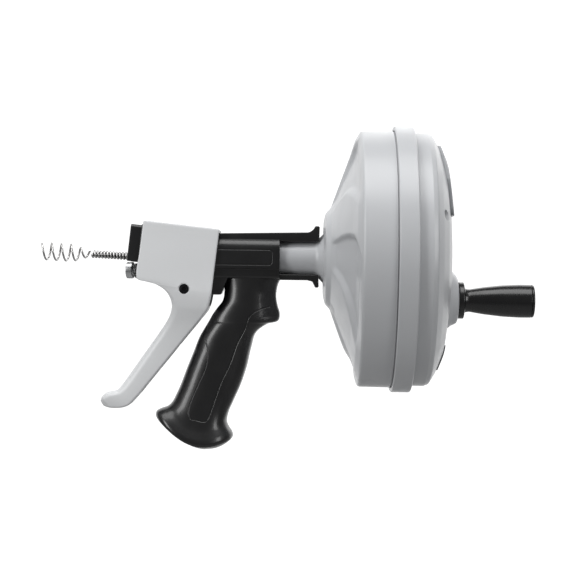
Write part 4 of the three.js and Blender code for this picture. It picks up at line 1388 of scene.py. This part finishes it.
@dataclass
class Trigger:
    """The squeeze trigger: a saddle over the body that runs into a finger lever."""

    body: str = "trigger"
    tilt: float = 6.0
    outer: float = 21.6
    inner: float = 18.6
    top: float = 49.2
    roof: float = 46.6
    edge: float = 1.1

    # Front point, back point, half width and corner radius, in the trigger's own frame.
    rows: tuple[Row, ...] = (
        (-37.3, 48.1, 21.8, 48.1, 21.6, 1.2),
        (-37.5, 25, 21.6, 25, 21.6, 1.2),
        (-37.8, 5.6, 21.5, 5.6, 21.6, 1.2),
        (-37.5, 4.0, 21.5, 3.8, 21.6, 1.2),
        (-36.2, 3.2, 21.5, 2.2, 21.6, 1.3),
        (-29.5, 2.2, 21.5, -0.6, 21.6, 1.5),
        (-20.6, 0.5, 21.4, -3.6, 21.4, 2.1),
        (-13.8, -3.4, 21.2, -6.6, 21, 2.8),
        (-10, -8.4, 20.7, -10, 20.3, 3.6),
        (-8.3, -13.8, 19.6, -14, 19.2, 4.6),
        (-8.7, -20, 17.2, -18.4, 17.4, 5.6),
        (-11.3, -27, 12.8, -25.4, 15.2, 6.4),
        (-15.4, -35, 7, -34.4, 13.3, 6.8),
        (-22, -47, -0.8, -46.6, 12, 7),
        (-31, -63.4, -11.7, -63.8, 11.5, 7),
        (-38, -76.2, -20.5, -77.6, 11.5, 7),
        (-41.8, -82.4, -25, -84.8, 11.5, 6.5),
        (-44.6, -85.2, -28.6, -90, 11.5, 6),
        (-48, -86.3, -32.4, -94.8, 11.4, 5.6),
        (-51.4, -87.5, -37, -97.3, 11, 5),
        (-53.8, -89.8, -42.8, -98.5, 10.2, 4.5),
        (-55.2, -92.2, -48.6, -98.9, 8.6, 3.6),
        (-55.7, -94.4, -52.4, -98.4, 5.4, 2),
    )

    def __post_init__(self) -> None:
        """Reads the pivot from the frame."""
        pivot, _ = joint("trigger_squeeze")
        self.world = Matrix.Translation(pivot) @ Matrix.Rotation(math.radians(self.tilt), 4, "Y")

    @staticmethod
    def section(row: Row) -> list[Vector]:
        """One rounded-box ring from a front point, a back point, a half width and a corner radius."""
        x0, z0, x1, z1, half, radius = row
        length = math.dist((x0, z0), (x1, z1))
        radius = min(radius, length * 0.49, half * 0.98)
        rear = min(radius, 2.0)
        arc = 8
        corners = ((radius, -1, 270), (radius, 1, 180), (length - rear, 1, 90), (length - rear, -1, 0))
        along = (Vector((x1, 0, z1)) - Vector((x0, 0, z0))) / length
        ring = []
        for centre, hand, first in corners:
            size = radius if centre == radius else rear
            for k in range(arc + 1):
                angle = math.radians(first - 90 * k / arc)
                u = centre + size * math.cos(angle)
                v = hand * (half - size) + size * math.sin(angle)
                ring.append(Vector((x0, 0, z0)) + along * u + Vector((0, v, 0)))
        return ring

    def lever(self) -> Form:
        """The outer form: a rounded top, the saddle's sides and the lever down to its toe."""
        rows = smooth_rows(self.rows, 1.4)
        crown = []
        for k in range(5):
            angle = math.pi / 2 * k / 4
            inset = self.edge * (1 - math.sin(angle))
            height = self.top - self.edge * (1 - math.cos(angle))
            crown.append((-37.3 + inset, height, 21.8 - inset, height, self.outer - inset, 1.2))
        return Form("trigger_lever", *grid([self.section(row) for row in crown[:-1] + rows], closed=False))

    def cutters(self) -> list[Form]:
        """What is taken out of the trigger, in its own frame."""
        reach = 70
        channel = [
            (-reach, self.roof), (reach, self.roof), (reach, -11), (-1, -11, 3), (-6, -7),
            (-16, 1), (-16, -8), (-reach, -8),
        ]
        result = [
            prism("channel", channel, Across.Y, -self.inner, self.inner),
            rod("pivot_hole", (0, -30, 0), (0, 30, 0), 3.9, 64),
            rod("pivot_sink", (0, -30, 0), (0, -self.outer + 0.5, 0), 4.6, 64),
        ]
        bays = ((-24, -43), (-45, -63), (-65, -84))
        for top, bottom in bays:
            front_top, front_bottom = (-5 - 0.508 * (-24 - z) for z in (top, bottom))
            bay = [(front_top, top, 1.5), (40, top), (40, bottom), (front_bottom, bottom, 1.5)]
            result.append(prism("bay", bay, Across.Y, -8.5, 8.5))
        brim = [(14.5, -24), (40, -24), (0, -84), (-23.8, -84)]
        result.append(prism("rib_brim", brim, Across.Y, -8.5, 8.5))
        for y in (-9, 9):
            sink = [(-5, 0), (-5, 1.9), (-2.2, 1.9), (-0.2, 3.6), (2, 3.6), (2, 0)]
            result.append(lathe("sink", sink, (-33, y, self.top), (0, 0, 1), 40))
        return result

    def carrier(self) -> None:
        """The black nose block that holds the two upper rollers."""
        side = self.inner - 0.4
        front, mid, rear = -46.8, -38.4, -27
        cheeks = [
            (-side, 16.5, 1), (-15.6, 16.5, 0.6), (-15.6, 38.5, 3), (15.6, 38.5, 3), (15.6, 16.5, 0.6),
            (side, 16.5, 1), (side, 45.4, 3), (-side, 45.4, 3),
        ]
        block_form = prism("nose_block", cheeks, Across.X, front, mid + 0.5).bevel(1.9, 6, 50)
        plate = block("plate", (mid, -side, 20.6), (rear, side, 46.1)).bevel(0.8, 3, 50)
        block_form.join(plate)
        cutters = [
            block("slot", (mid - 1, -4.3, 10), (rear + 1, 4.3, 26)),
            rod("slot_end", (mid - 1, 0, 26), (rear + 1, 0, 26), 4.3, 48),
        ]
        back = self.world.inverted()
        for name in ("upper_roller_left_spin", "upper_roller_right_spin"):
            point, axis = joint(name)
            cutters.append(rod("pin", back @ (point - axis), back @ (point + axis * 18), 2.15, 32))
        for y in (-9, 9):
            cutters.append(rod("screw", (-33, y, 38), (-33, y, 50), 1.9, 32))
        block_form.cut(*cutters).place(self.world)
        block_form.dress(Finishes.body, self.body, "roller_carrier", angle=32)

    def screws(self) -> None:
        """The countersunk screws through the roof."""
        for number, y in enumerate((-9, 9), 1):
            profile = [(-10, 0), (-10, 1.5, 0.4), (-2.2, 1.6), (-0.3, 3.3, 0.2), (-0.15, 0)]
            screw = lathe("carrier_screw", profile, (-33, y, self.top), (0, 0, 1), 40)
            arms = [
                block("slot", (-35, y - 0.35, self.top - 1.5), (-31, y + 0.35, self.top + 2)),
                block("slot", (-33.35, y - 2, self.top - 1.5), (-32.65, y + 2, self.top + 2)),
            ]
            screw.cut(arms[0].join(arms[1])).place(self.world)
            screw.object.name = f"roof_screw_{number}"
            screw.dress(Finishes.blacked, self.body, f"carrier_screw_{number}")

    def build(self) -> None:
        """Builds the trigger, the nose block and their screws."""
        lever = self.lever().cut(*self.cutters()).place(self.world)
        lever.dress(Finishes.trigger, self.body, "trigger", angle=36)
        self.carrier()
        self.screws()


# --- Assembly ---


def main() -> None:
    """Builds the studio and every sub-assembly."""
    logging.basicConfig(level=logging.INFO, format="%(name)s: %(message)s")
    Studio().build()
    Drum().build()
    Knob().build()
    Cable().build()
    Body().build()
    lower_tail = box("lower_roller_pin")[1].x - joint("lower_roller_spin")[0].x
    FeedRoller("lower", "handle", lower_tail).build()
    for where in ("upper_left", "upper_right"):
        FeedRoller(where, "trigger", 15).build()
    Trigger().build()


if __name__ == "__main__":
    main()
